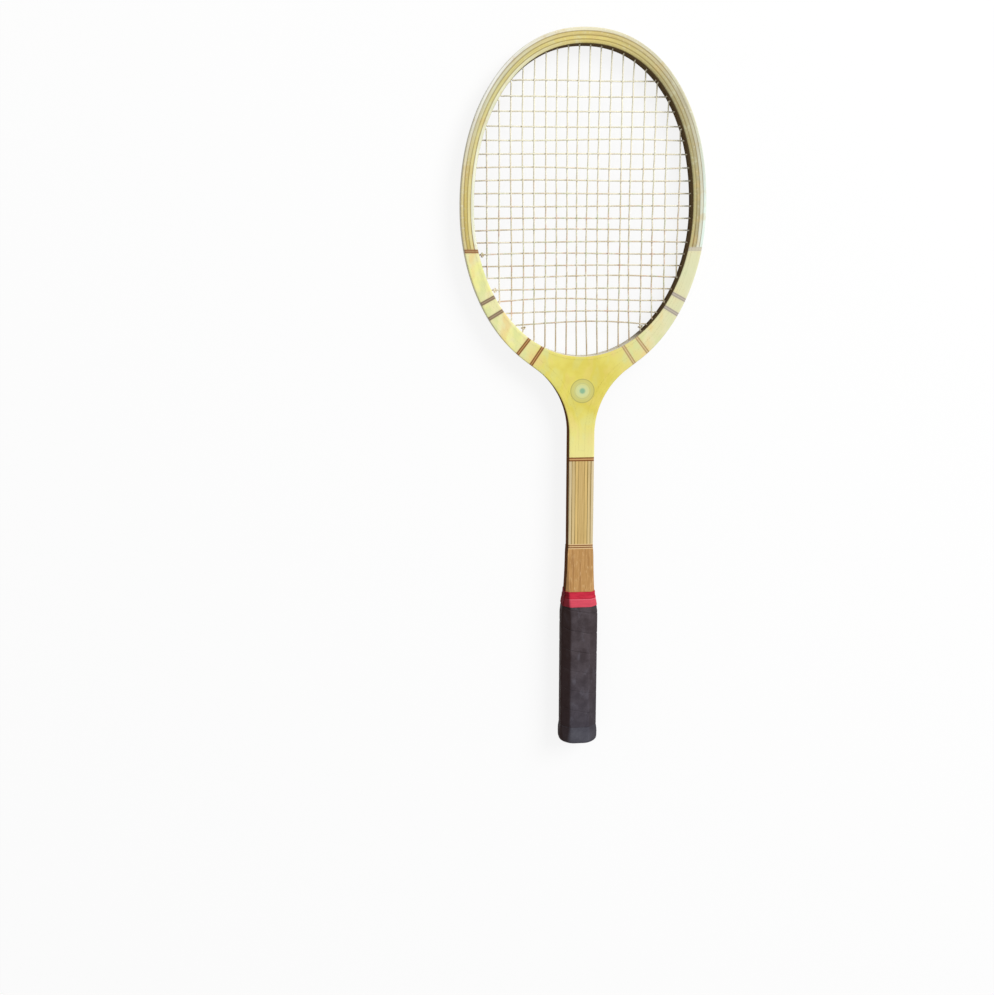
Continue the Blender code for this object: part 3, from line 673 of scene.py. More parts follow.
STRING_RADIUS = 0.675 * MM
STRING_DEPTH = 0.825 * MM
STANDOFF = 1.3 * MM
HOLE_RADIUS = 1.05 * MM
ROW_OFFSET = 1.25 * MM
MAINS = 18
MAIN_MARGIN = 12.5 * MM
MAIN_WIDENING = 0.0083 * MM
CROSSES = 20
CROSS_MARGIN_TOP = 31.0 * MM
CROSS_MARGIN_LOW = 29.5 * MM
CROSS_SKEW = 0.071 * MM
CROSS_WIDENING = 0.0051 * MM
WEDGE_MAINS = 10
DRILL_SIDES = 14
DRILL_START = 2 * MM
DRILL_PAST = 4 * MM
CHANNEL_STATIONS = 120
PARALLEL = 1e-12


def main_places():
    """Across positions of the main strings, a little wider apart towards the sides."""
    last = (MAINS - 1) / 2
    pitch = (OPENING_HALF_WIDTH - MAIN_MARGIN - MAIN_WIDENING * last ** 3) / last
    steps = np.arange(MAINS) - last
    return pitch * steps + MAIN_WIDENING * steps ** 3


def cross_places():
    """Heights of the cross strings from the tip down, closer together towards the throat."""
    last = (CROSSES - 1) / 2
    top = OPENING_ABOVE - CROSS_MARGIN_TOP
    low = CROSS_MARGIN_LOW - OPENING_BELOW
    pitch = ((top - low) / 2 - CROSS_WIDENING * last ** 3) / last
    steps = last - np.arange(CROSSES)
    even = HEAD_Y + (top + low) / 2 + pitch * steps
    return even + CROSS_SKEW * (steps ** 2 - last ** 2) + CROSS_WIDENING * steps ** 3


def rim_points(fixed, is_cross, side):
    """Where strings of one set reach the rim, and the rim's outward direction there.

    The rim is |x / a|^p + |y / b|^p = 1, so the outward direction is the gradient of that sum.
    """
    half_width = OPENING_HALF_WIDTH - STANDOFF
    upper = fixed > HEAD_Y if is_cross else np.full(len(fixed), side > 0)
    height = np.where(upper, OPENING_ABOVE - STANDOFF * CROWN_SWELL, OPENING_BELOW - STANDOFF)
    power = np.where(upper, CROWN_POWER, 2.0)
    if is_cross:
        v = fixed - HEAD_Y
        x = side * half_width * (1 - (np.abs(v) / height) ** power) ** (1 / power)
    else:
        x = fixed
        v = side * height * (1 - (np.abs(x) / half_width) ** power) ** (1 / power)
    outward = np.column_stack([
        np.sign(x) * (np.abs(x) / half_width) ** (power - 1) / half_width,
        np.sign(v) * (np.abs(v) / height) ** (power - 1) / height,
    ])
    return np.column_stack([x, HEAD_Y + v]), unit(outward)


def crossed(first, second):
    """The cross product of ways in the plan."""
    return first[..., 0] * second[..., 1] - first[..., 1] * second[..., 0]


def places_met(line, points, ways):
    """Distance along a plan line at which rays from points in given directions first meet it."""
    step = np.diff(line, axis=0)
    gap = line[None, :-1] - points[:, None]
    ways = ways[:, None]
    cross = crossed(step, ways)
    cross = np.where(np.abs(cross) < PARALLEL, PARALLEL, cross)
    share = crossed(ways, gap) / cross
    reach = crossed(step, gap) / cross
    reach = np.where((share >= 0) & (share <= 1) & (reach > 0), reach, np.inf)
    nearest = np.argmin(reach, axis=1)
    who = np.arange(len(points))
    return run_of(line)[nearest] + share[who, nearest] * np.linalg.norm(step, axis=1)[nearest]


def points_along(line, distances):
    """Points at distances along a line."""
    return np.column_stack([np.interp(distances, run_of(line), part) for part in line.T])


def string_ends(fixed, is_cross, side, line):
    """One set's string ends at one side, each a rim point, outward way, groove line and place along it."""
    points, ways = rim_points(fixed, is_cross, side)
    ends = zip(points, ways, places_met(line, points, ways))
    return [{"point": point, "way": way, "line": line, "place": place} for point, way, place in ends]


groove_line = bow_line(STRING_DEPTH)
main_x = main_places()
cross_y = cross_places()
first_wedge_main = (MAINS - WEDGE_MAINS) // 2
channel_corner = rim_points(main_x[first_wedge_main - 1:first_wedge_main + 1], False, -1)[0]
channel_low = np.arctan2(channel_corner[:, 1] - HEAD_Y, channel_corner[:, 0]).mean()
channel_angles = np.linspace(channel_low, -math.pi - channel_low, CHANNEL_STATIONS)
channel_line = ring_line(PLY + GLUE_LINE + STRING_DEPTH, channel_angles)
in_wedge = np.abs(np.arange(MAINS) - (MAINS - 1) / 2) < WEDGE_MAINS / 2
main_tops = string_ends(main_x, False, 1, groove_line)
main_lows = string_ends(main_x, False, -1, groove_line)
main_turns = string_ends(main_x, False, -1, channel_line)
cross_lefts = string_ends(cross_y, True, -1, groove_line)
cross_rights = string_ends(cross_y, True, 1, groove_line)


def mouth_of(end):
    """The point of the groove's line where a string's hole opens."""
    return points_along(end["line"], np.array([end["place"]]))[0]


def drill_points(ends, height, past=DRILL_PAST):
    """Start and end of each drill: from inside the opening to a distance past the string's line."""
    starts = [end["point"] - end["way"] * DRILL_START for end in ends]
    stops = [mouth_of(end) + end["way"] * past for end in ends]
    return extruded([starts, stops], [height, height])


def circled(turn, beside, up):
    """Ways round a middle at turns that go from the way beside it to the way up from it."""
    return np.cos(turn)[:, None] * beside + np.sin(turn)[:, None] * up


def rods(name, ends, radius, sides):
    """Round rods from start to end points: a circle of sides round each, at right angles to the rod."""
    beside = np.cross(unit(ends[:, 1] - ends[:, 0]), [0, 0, 1])
    circle = circled(full_turn(sides), beside[:, None], np.array([0, 0, 1.0]))
    points = ends[:, :, None] + radius * circle[:, None]
    index = np.arange(len(ends) * 2 * sides).reshape(len(ends), 2, sides)
    after = np.roll(index, -1, axis=2)
    walls = np.stack([index[:, 0], after[:, 0], after[:, 1], index[:, 1]], axis=-1).reshape(-1, 4).tolist()
    mesh = bpy.data.meshes.new(name)
    mesh.from_pydata(points.reshape(-1, 3).tolist(), [], walls + index.reshape(-1, sides).tolist())
    return settle(name, mesh)


drills = rods("drills", np.concatenate([
    drill_points(main_tops, ROW_OFFSET),
    drill_points([main_lows[k] for k in np.flatnonzero(~in_wedge)], ROW_OFFSET),
    drill_points([main_turns[k] for k in np.flatnonzero(in_wedge)], ROW_OFFSET, 0.0),
    drill_points(cross_lefts, -ROW_OFFSET),
    drill_points(cross_rights, -ROW_OFFSET),
]), HOLE_RADIUS, DRILL_SIDES)
channel_deep = PLY + GLUE_LINE + GROOVE_DEPTH
channel_lines = [ring_line(d, channel_angles) for d in (channel_deep, PLY, PLY, channel_deep)]
channel = skin("channel", extruded(channel_lines, [-GROOVE_HALF, -GROOVE_HALF, GROOVE_HALF, GROOVE_HALF]))


def cut_out(piece, *tools):
    """Take tools out of a piece for good, and let its edges show sharp again."""
    for tool in tools:
        modifier = piece.modifiers.new("cut", "BOOLEAN")
        modifier.operation = "DIFFERENCE"
        modifier.solver = "EXACT"
        modifier.object = tool
    seen = piece.evaluated_get(bpy.context.evaluated_depsgraph_get())
    mesh = bpy.data.meshes.new_from_object(seen)
    piece.modifiers.clear()
    piece.data = mesh
    mesh.set_sharp_from_angle(angle=math.radians(SHARP))


for ply in (ring, *bow):
    cut_out(ply, drills)
cut_out(wedge, drills, channel)
for tool in (drills, channel):
    bpy.data.objects.remove(tool, do_unlink=True)


# ------------------------------
# Handle cheeks. Four strips of brown veneered wood glued round the shaft, feathered out at their
# tops, with the corners planed off so that the handle comes out eight-sided.

CHEEK_TOP = 204.0 * MM
HANDLE_TOP = 136.0 * MM
CHEEK_FEATHER = 0.25 * MM
SIDE_CHEEK = 3.8 * MM
FACE_CHEEK = 3.9 * MM
BEVEL_ANGLE = math.radians(42.0)
CORNER_WOOD = 0.6 * MM
ACROSS = math.sin(BEVEL_ANGLE)
OUT = math.cos(BEVEL_ANGLE)
BEVEL_REACH = ACROSS * SHAFT_HALF + OUT * HALF_DEPTH + CORNER_WOOD
PLANED_RUN = 9 * MM
PLANED = 0.45 * MM
CHEEK_GLUE = 0.03 * MM
EDGE_LEFT = 0.02 * MM
LEAST_EDGE = 0.4


def handle_sizes(y):
    """Half width and half depth of the handle's wood at heights: the swell grows with its square."""
    share = np.clip((CHEEK_TOP - y) / (CHEEK_TOP - HANDLE_TOP), 0, 1) ** 2
    side = SHAFT_HALF + GLUE_LINE + CHEEK_FEATHER + (SIDE_CHEEK - CHEEK_FEATHER) * share
    face = HALF_DEPTH + GLUE_LINE + CHEEK_FEATHER + (FACE_CHEEK - CHEEK_FEATHER) * share
    return side, face


def bevel_x(z, side, inset=0.0):
    """How far across the bevel lies at a height over the middle plane, at most the handle's half width."""
    return np.minimum((BEVEL_REACH - inset - OUT * z) / ACROSS, side)


def bevel_z(x, face, inset=0.0):
    """How high over the middle plane the bevel lies at a distance across, at most a given height."""
    return np.minimum((BEVEL_REACH - inset - ACROSS * x) / OUT, face)


cheek_y = np.concatenate([np.linspace(WOOD_FOOT, HANDLE_TOP, 6)[:-1], np.linspace(HANDLE_TOP, CHEEK_TOP, 60)])
thinned = PLANED * np.clip((cheek_y - (CHEEK_TOP - PLANED_RUN)) / PLANED_RUN, 0, 1)
cheek_side, cheek_face = [size - thinned for size in handle_sizes(cheek_y)]
face_inner = HALF_DEPTH + CHEEK_GLUE
face_least = face_inner + LEAST_EDGE * (cheek_face - face_inner)
face_edge = np.maximum((BEVEL_REACH - ACROSS * cheek_side) / OUT, face_least)
face_edge = np.minimum(face_edge, cheek_face - EDGE_LEFT)
half_face = [
    (bevel_x(face_inner, cheek_side), face_inner), (bevel_x(face_edge, cheek_side), face_edge),
    (bevel_x(cheek_face, cheek_side), cheek_face),
]
half_side = [
    (SHAFT_HALF + CHEEK_GLUE, HALF_DEPTH), (bevel_x(HALF_DEPTH, cheek_side), HALF_DEPTH),
    (cheek_side, bevel_z(cheek_side, HALF_DEPTH - CHEEK_FEATHER)),
]
whole_face = half_face + [(-x, z) for x, z in half_face[::-1]]
whole_side = half_side + [(x, -z) for x, z in half_side[::-1]]


def veneer_finish(name):
    """Brown veneer under varnish: dark streaks and pale flecks along the handle, darker on its sides."""
    material, place, _, facing = new_finish(name)
    grain = mottle(scaled(place, (1.3, 0.035, 1.3)), 5.0, 0.62)
    streak = mottle(scaled(place, (0.55, 0.02, 0.55)), 3.0, 0.5)
    fleck = mottle(scaled(place, (1.1, 0.16, 1.1)), 3.0, 0.6)
    wood = layered(
        blend(ramp(grain, *NOISE), (206, 161, 104), (180, 134, 79)),
        (ramp(streak, 0.52, 0.72, 0.0, 0.55), (152, 106, 62)),
        (ramp(fleck, 0.56, 0.70, 0.0, 0.6), (228, 194, 142)),
    )
    face = face_share(facing)
    dark = scaled(shade(86, 48, 14), ramp(grain, *NOISE, 0.75, 1.3))
    colour = blend(face, dark, shaft_lines(split(place)[1], wood))
    return finished(material, colour, between(face, 1.0, ramp(grain, *NOISE, 0.55, 0.42)), grain, 0.08 * MM)


veneer = veneer_finish("veneer")
for side, columns in (
    ("front", whole_face), ("back", [(x, -z) for x, z in whole_face]),
    ("right", whole_side), ("left", [(-x, z) for x, z in whole_side]),
):
    dress(skin(f"cheek_{side}", columns_along(cheek_y, columns)), veneer, "veneer", f"handle_cheek_{side}")


# ------------------------------
# Butt cap. A flared leather-covered cup with a rounded end, pushed over the foot of the handle.

CAP_LENGTH = 18.6 * MM
CAP_FLOOR = 3.2 * MM
CAP_FLARE = 1.1 * MM
CAP_ROUND = 5.0 * MM
CAP_CORNER = 12.0 * MM
CAP_FALL = 0.35
CAP_END_Y = np.array([0.0, 0.05, 0.2, 0.45]) * MM
LIP_CORNER = 2.4 * MM
LIP = 0.4 * MM
FIT_GAP = 0.3 * MM
LEATHER = 1.6 * MM
CORNER_STEPS = 9
FLAT_STEPS = 7

fan = np.radians([0.0, 48.0, 90.0, 132.0, 180.0, 228.0, 270.0, 312.0])
fan_gap = np.diff(np.append(fan, fan[0] + 2 * math.pi))


def wood_corners(y, inset):
    """The handle's eight corners at heights, each between two neighbouring faces, drawn in by an inset."""
    side, face = [size - inset for size in handle_sizes(y)]
    flat = bevel_x(face, side, inset)
    edge = bevel_z(side, face, inset)
    x = np.stack([side, flat, -flat, -side, -side, -flat, flat, side], axis=-1)
    z = np.stack([edge, face, face, edge, -edge, -face, -face, -edge], axis=-1)
    return np.stack([x, z], axis=-1)


def wrapped(y, offset, inset=0.0):
    """Closed loops round the handle at heights, an offset away from its wood, with round corners.

    Each corner of the wood, drawn in by the inset, carries an arc with the offset plus the inset as its
    radius, from the way that one face looks to the way that the next one looks; points divide each flat.
    """
    y = np.asarray(y, float)
    radius = np.asarray(offset, float) + inset
    corners = wood_corners(y, inset)[:, :, None]
    turn = fan[:, None] + fan_gap[:, None] * np.linspace(0, 1, CORNER_STEPS)
    arc = corners + radius[:, None, None, None] * np.stack([np.cos(turn), np.sin(turn)], axis=-1)
    start = arc[:, :, -1:]
    end = np.roll(arc[:, :, :1], -1, axis=1)
    part = np.linspace(0, 1, FLAT_STEPS + 1)[1:-1][None, None, :, None]
    loop = np.concatenate([arc, start + (end - start) * part], axis=2).reshape(len(y), -1, 2)
    return np.stack([loop[..., 0], np.broadcast_to(y[:, None], loop.shape[:2]), loop[..., 1]], axis=-1)


def cap_rows():
    """Heights and offsets of the cap's rows, from the middle of its end over the flare and down inside."""
    cover = FIT_GAP + LEATHER
    full = cover + CAP_FLARE
    end_offset = full - CAP_ROUND - np.array([9.0, 5.0, 2.0, 0.0]) * MM
    turn = np.radians(np.linspace(8, 90, 9))
    round_y = CAP_END_Y[-1] + (CAP_ROUND - CAP_END_Y[-1]) * (1 - np.cos(turn))
    round_offset = full - CAP_ROUND * (1 - np.sin(turn))
    fall = np.linspace(0, 1, 9)[1:]
    neck_y = CAP_ROUND + (CAP_LENGTH - LIP - CAP_ROUND) * fall
    neck_offset = full - CAP_FLARE * np.clip((fall - CAP_FALL) / (1 - CAP_FALL), 0, 1) ** 1.6
    y = np.concatenate([CAP_END_Y, round_y, neck_y, [CAP_LENGTH, CAP_LENGTH, CAP_FLOOR]])
    return y, np.concatenate([end_offset, round_offset, neck_offset, [cover - LIP, FIT_GAP, FIT_GAP]])


def cap_loops():
    """The cap's loops: the outside has large round corners, the socket fits the wood's sharp ones."""
    cap_y, cap_offset = cap_rows()
    round_corner = CAP_CORNER + (LIP_CORNER - CAP_CORNER) * np.clip(cap_y / CAP_LENGTH, 0, 1) ** 0.7
    inset = np.where(cap_offset > 0.5 * MM, round_corner, 0.0)
    inset = np.where(cap_y < CAP_ROUND - 0.01 * MM, np.maximum(round_corner, 0.4 * MM - cap_offset), inset)
    inset[-1] = 0.0
    return np.concatenate([wrapped([y], [off], inner) for y, off, inner in zip(cap_y, cap_offset, inset)])


def leather_finish(name, base, deep, bright, grain_size):
    """Dressed leather: uneven dye, a pebbled grain, smears of wear, painted shade on the facets that face
    left and a lighter painted shade on those that face right.
    """
    material, place, _, facing = new_finish(name)
    dye = mottle(scaled(place, 0.07), 4.0, 0.6)
    smear = mottle(scaled(place, (0.15, 0.08, 0.15)), 3.0, 0.55)
    cells = {"Vector": scaled(place, 1 / grain_size), "Scale": 1.0}
    pebble = ramp(wired("TexVoronoi", cells, "Distance", feature="DISTANCE_TO_EDGE"), 0.0, 0.35)
    colour = layered(
        blend(ramp(dye, 0.35, 0.65), base, deep),
        (ramp(smear, 0.52, 0.75, 0.0, 0.6), bright),
        (ramp(split(place)[1], 110.0, 10.0, 0.0, 0.35), (74, 76, 90)),
        # Painted shade on the facets that face left.
        (ramp(facing[0], -0.2, -0.8, 0.0, 0.9), (44, 25, 20)),
        # A lighter painted shade on the facets that face right.
        (ramp(facing[0], 0.3, 0.8, 0.0, 0.5), (52, 44, 44)),
    )
    colour = scaled(colour, ramp(pebble, 0.0, 1.0, 0.86, 1.04))
    return finished(material, colour, ramp(smear, *NOISE, 0.8, 0.66), pebble + dye, 0.12 * MM)


cap_leather = leather_finish("cap_leather", (94, 92, 98), (74, 71, 77), (112, 111, 120), 1.1)
dress(skin("end_cap", cap_loops()), cap_leather, "cap_leather", "butt_cap")


# ------------------------------
# Grip. One long strip of leather wound up the handle from the cap, each turn butted against the
# one before, its edges pared down, cut level at both ends and thinned where the tape covers it.

LEATHER_SKIVED = 0.8 * MM
GRIP_PITCH = 20.9 * MM
GRIP_SEAM = 0.12 * MM
GRIP_START = CAP_LENGTH + FIT_GAP - 8.0 * MM
GRIP_FOOT = CAP_LENGTH + 0.05 * MM
GRIP_TOP = 149.2 * MM
GRIP_SKIVE = 9.0 * MM
GRIP_END_WIDTH = 0.25 * MM
PARED = 0.42 * MM
PARED_WORN = 0.2 * MM
PARED_WIDTH = 0.8 * MM
LEATHER_CORNER = 2.4 * MM
STRIP_COLUMNS = np.array([0.0, 0.008, 0.02, 0.045, 0.1, 0.25, 0.5, 0.75, 0.9, 0.955, 0.98, 0.992, 1.0])

loop_run = run_of(wrapped([0.05], [LEATHER])[0], True)
loop_share = loop_run[:-1] / loop_run[-1]
per_turn = len(loop_share)
turns = int((GRIP_TOP - GRIP_FOOT) / GRIP_PITCH) + 4
station = np.arange(per_turn * turns)
climb = station // per_turn + loop_share[station % per_turn]
upper = np.minimum(GRIP_START + GRIP_PITCH * climb, GRIP_TOP)
lower = np.maximum(GRIP_START + GRIP_PITCH * (climb - 1) + GRIP_SEAM, GRIP_FOOT)
kept = upper - lower > GRIP_END_WIDTH
station, upper, lower = station[kept], upper[kept], lower[kept]
strip_y = lower[:, None] + (upper - lower)[:, None] * STRIP_COLUMNS
edge_distance = np.minimum(strip_y - lower[:, None], upper[:, None] - strip_y)


def skived(y):
    """The leather's thickness at heights: full, then thinned evenly towards the strip's upper end."""
    return LEATHER + (LEATHER_SKIVED - LEATHER) * np.clip((y - GRIP_TOP + GRIP_SKIVE) / GRIP_SKIVE, 0, 1)


def strip_columns(offset, inset=0.0):
    """Points of the strip at an offset from the wood: each column of it, at each station round the handle."""
    who = np.arange(len(station))
    columns = zip(strip_y.T, offset.T)
    return np.stack([wrapped(y, off, inset)[who, station % per_turn] for y, off in columns], axis=1)


pared = np.interp(strip_y, [0.075, 0.105], [PARED_WORN, PARED]) * np.exp(-edge_distance / (PARED_WIDTH / 2))
thick = skived(strip_y) - pared * np.clip((GRIP_TOP - strip_y) / GRIP_SKIVE, 0, 1)
strip_outside = strip_columns(FIT_GAP + thick, LEATHER_CORNER)
strip_inside = strip_columns(np.full(strip_y.shape, FIT_GAP))
grip = skin("wound_strip", np.concatenate([strip_outside, strip_inside[:, ::-1]], axis=1), sharp=40.0)
leather = leather_finish("leather", (84, 75, 79), (66, 57, 60), (102, 97, 105), 0.9)
dress(grip, leather, "leather", "leather_grip")


# ------------------------------
# Collar. Red plastic tape wound twice over the thinned end of the grip and on over the bare wood,
# with one turn standing a step above the other.

TAPE = 0.5 * MM
TAPE_LAP = 4.1 * MM
TAPE_DOUBLE = 5.7 * MM
TAPE_SINGLE = 5.1 * MM
TAPE_STEP = 0.9 * MM


def collar_rows():
    """Heights and offsets round the tape's section, up its inside and down its outside."""
    lap = np.linspace(GRIP_TOP - TAPE_LAP, GRIP_TOP, 6)
    over = 0.3 * FIT_GAP + FIT_GAP + skived(lap)
    drop = GRIP_TOP + FIT_GAP + LEATHER_SKIVED
    step = GRIP_TOP + TAPE_DOUBLE
    top = step + TAPE_SINGLE
    inner = [*zip(lap, over), (GRIP_TOP + FIT_GAP, over[-1]), (drop, FIT_GAP), (top, FIT_GAP)]
    outer = [(top - down * MM, FIT_GAP + part * TAPE) for down, part in ((0, 0.5), (0.15, 0.85), (0.4, 1))]
    fall = np.linspace(0, 1, 7)
    outer += [*zip(step + TAPE_STEP * (1 - 2 * fall), FIT_GAP + TAPE * (1 + fall * fall * (3 - 2 * fall)))]
    outer += [(drop + TAPE, FIT_GAP + 2 * TAPE)]
    rise = np.linspace(0, 1, 6)[::-1]
    outer += [*zip(lap[::-1] + TAPE * rise, over[::-1] + TAPE)]
    rows = np.array(inner + outer)
    return rows[:, 0], rows[:, 1]


def tape_finish(name):
    """Crimson tape with a soft gloss, uneven where it is stretched and paler on its lower part, with a
    painted highlight line across it and painted shade on its side that faces left.
    """
    material, place, _, facing = new_finish(name)
    y = split(place)[1]
    stretch = mottle(scaled(place, (0.12, 0.7, 0.12)), 3.0, 0.5)
    colour = layered(
        blend(ramp(stretch, *NOISE), (206, 48, 70), (178, 34, 55)),
        (ramp(y, 153.6, 151.8, 0.0, 0.55), (226, 96, 114)),
        # A painted highlight line across the tape.
        (line_at(y, 152.6, 0.35) * 0.6, (238, 128, 142)),
        # Painted shade on the side that faces left.
        (ramp(facing[0], -0.2, -0.8, 0.0, 0.9), (84, 12, 14)),
    )
    return finished(material, colour, ramp(stretch, *NOISE, 0.7, 0.85), stretch, 0.15 * MM)


collar = skin("tape_collar", wrapped(*collar_rows(), inset=LEATHER_CORNER), wraps=(True, True), sharp=60.0)
dress(collar, tape_finish("red_tape"), "red_tape", "collar_tape")


# ------------------------------
# Strings. Two lengths of gut, one for the mains and one for the crosses, woven over and under each
# other. Each runs out through a hole, along the groove to the next one and back in.

STRING_SIDES = 8
STRING_PITCH = 1.7 * MM
WEAVE = 0.68 * MM
NEAR_RIM = 5.4 * MM
LOOP_CORNER = 0.9 * MM
TAIL = 7.0 * MM
LOW_BOW = 2.4 * MM
HITCH_TURNS = 1.1
HITCH_PITCH = 1.42 * MM
HITCH_REACH = 2.2 * STRING_RADIUS


def rim_distance(x, y):
    """Distance from points in the bed out to the ring ply, along their direction from the middle."""
    turn = np.arctan2(y - HEAD_Y, x)
    edge = ring_line(0, turn.ravel()).reshape(*turn.shape, 2)
    return np.hypot(edge[..., 0], edge[..., 1] - HEAD_Y) - np.hypot(x, y - HEAD_Y)


crossing_x, crossing_y = np.meshgrid(main_x, cross_y, indexing="ij")
parity = np.where(np.add.outer(np.arange(MAINS), np.arange(CROSSES)) % 2 == 0, 1.0, -1.0)
main_on_top = np.where(rim_distance(crossing_x, crossing_y) < NEAR_RIM, 1.0, parity)


def softened(points, passes=3):
    """A line with its corners cut off again and again, which keeps its two ends."""
    for step in range(passes):
        quarter = 0.75 * points[:-1] + 0.25 * points[1:]
        three = 0.25 * points[:-1] + 0.75 * points[1:]
        middle = np.stack([quarter, three], axis=1).reshape(-1, points.shape[1])
        points = np.concatenate([points[:1], middle, points[-1:]])
    return points


def aside(drift, turn):
    """How far a string strays from the straight line: a sin(t) + b sin(2 t), t going from 0 to pi."""
    return drift[0] * np.sin(turn) + drift[1] * np.sin(2 * turn)


def strayed(pairs, free, drifts, places):
    """Where each string of a set really crosses lines of the other set, with its drift, one row a line."""
    columns = []
    for k, pair in enumerate(pairs):
        start, end = [e["point"] for e in (pair if k % 2 == 0 else pair[::-1])]
        share = np.clip((places - start[free]) / (end[free] - start[free]), 0, 1)
        straight = start[1 - free] + (end[1 - free] - start[1 - free]) * share
        columns.append(straight + aside(drifts[k], math.pi * share))
    return np.stack(columns, axis=1)


def bed_run(start, end, free, others, tops, row_height, drift):
    """One string across the bed: nearly straight, eased up and down between the strings that it crosses.

    Its height is a chain of smooth steps s * s * (3 - 2 s) between the knots, which are the crossings and
    the two rims.
    """
    first, last = sorted((start[free], end[free]))
    inside = (others > first + 2 * STRING_RADIUS) & (others < last - 2 * STRING_RADIUS)
    knots = np.concatenate([[first], others[inside], [last]])
    levels = np.concatenate([[row_height], tops[inside] * WEAVE, [row_height]])
    order = np.argsort(knots)
    knots, levels = knots[order], levels[order]
    count = int(abs(end[free] - start[free]) / STRING_PITCH) + 2
    plan = np.linspace(start, end, count)
    plan[:, 1 - free] += aside(drift, np.linspace(0, math.pi, count))
    position = np.interp(plan[:, free], knots, np.arange(len(knots)))
    whole = np.floor(position)
    part = position - whole
    level = np.interp(whole + part * part * (3 - 2 * part), np.arange(len(knots)), levels)
    return np.column_stack([plan, level])


def way_out(end):
    """A string's way from the rim through its hole: the rim point, a point before the mouth, the mouth."""
    mouth = mouth_of(end)
    return [end["point"], mouth - end["way"] * LOOP_CORNER, mouth]


def outside_run(first, second, height):
    """Out through one hole, along the groove and in through the next."""
    low, high = sorted((first["place"], second["place"]))
    places = np.linspace(low + LOOP_CORNER, high - LOOP_CORNER, 6)
    if second["place"] < first["place"]:
        places = places[::-1]
    along = points_along(first["line"], places)
    plan = softened(np.vstack([*way_out(first), along, *way_out(second)[::-1]]))
    return at_height(plan, height)[1:-1]


def tail_run(end, way, height):
    """Out through the last hole and a short way along the groove."""
    along = points_along(end["line"], end["place"] + way * np.array([LOOP_CORNER, 3 * LOOP_CORNER, TAIL]))
    return at_height(softened(np.vstack([*way_out(end), along])), height)[1:]


def woven_length(pairs, free, others, tops, height, drifts):
    """A whole length of string: bed, loop, bed and so on, and a tail at each end."""
    runs = []
    for k, pair in enumerate(pairs):
        start, end = pair if k % 2 == 0 else pair[::-1]
        if k == 0:
            way = math.copysign(1, start["place"] - pairs[1][0]["place"])
            runs.append(tail_run(start, way, height)[::-1])
        runs.append(bed_run(start["point"], end["point"], free, others[k], tops[k], height, drifts[k]))
        far_side = 1 if k % 2 == 0 else 0
        if k + 1 < len(pairs):
            runs.append(outside_run(end, pairs[k + 1][far_side], height))
        else:
            before = pairs[k - 1][far_side]
            runs.append(tail_run(end, math.copysign(1, end["place"] - before["place"]), height))
    return np.concatenate(runs)


def directions(way):
    """Ways of length one along a line, beside it in plan and up from it."""
    way = unit(way)
    beside = unit(np.cross(way, [0, 0, 1]))
    return way, beside, np.cross(beside, way)


def string_tube(name, path):
    """A round tube along a path: circles at right angles to the mean way of the two steps at each point."""
    step = unit(np.diff(path, axis=0))
    _, beside, up = directions(np.vstack([step[:1], step[:-1] + step[1:], step[-1:]]))
    circle = circled(full_turn(STRING_SIDES), beside[:, None], up[:, None])
    return skin(name, path[:, None] + STRING_RADIUS * circle, sharp=60.0)


def hitch(path, point, start):
    """A tie-off: a coil of a string's end round a string, a start away from the rim, and a short tail.

    The coil is a circle carried along the string's path, a little over one string's width for each turn.
    """
    nearest = np.argmin(np.hypot(*(path[:, :2] - point).T))
    step = min((1, -1), key=lambda way: np.linalg.norm(path[nearest + 4 * way, :2] - [0, HEAD_Y]))
    bed = path[nearest::step][:8]
    sweep = np.linspace(0, HITCH_TURNS * 2 * math.pi, 20)
    centre = points_along(bed, start + HITCH_PITCH * sweep / (2 * math.pi))
    way, beside, up = directions(np.gradient(centre, axis=0))
    coil = centre + HITCH_REACH * circled(sweep, beside, up)
    tail_way = -0.4 * MM * way[-1] + 0.9 * MM * beside[-1] + 1.6 * MM * up[-1]
    tail = coil[-1] + np.outer(np.linspace(0, 1, 5)[1:], tail_way)
    return softened(np.vstack([coil, tail]), 2)


def gut_finish(name):
    """Twisted gut: pale straw with a faint spiral, stained in places."""
    material, place, lay, _ = new_finish(name, coat=0.1)
    y = split(place)[1]
    along, around, _ = split(lay)
    stain = mottle(scaled(place, (0.07, 0.09, 0.2)), 3.0, 0.6)
    tint = mottle(scaled(place, (0.16, 0.13, 0.2)), 2.0, 0.6)
    twist = reckon("SINE", along * 2.6 + around * 1.48)
    colour = layered(
        blend(ramp(stain, 0.36, 0.64), (244, 238, 216), (222, 206, 174)),
        (ramp(tint, 0.53, 0.68, 0.0, 0.65), (228, 188, 168)),
        (ramp(tint, 0.47, 0.32, 0.0, 0.65), (204, 214, 172)),
        (ramp(y, 440.0, 398.0, 0.0, 0.55), (166, 138, 96)),
        (ramp(y, 470.0, 620.0, 0.0, 0.8), (255, 250, 224)),
    )
    colour = scaled(colour, ramp(twist, -1.0, 1.0, 0.90, 1.03))
    return finished(material, colour, ramp(stain, *NOISE, 0.36, 0.5), twist, 0.05 * MM)


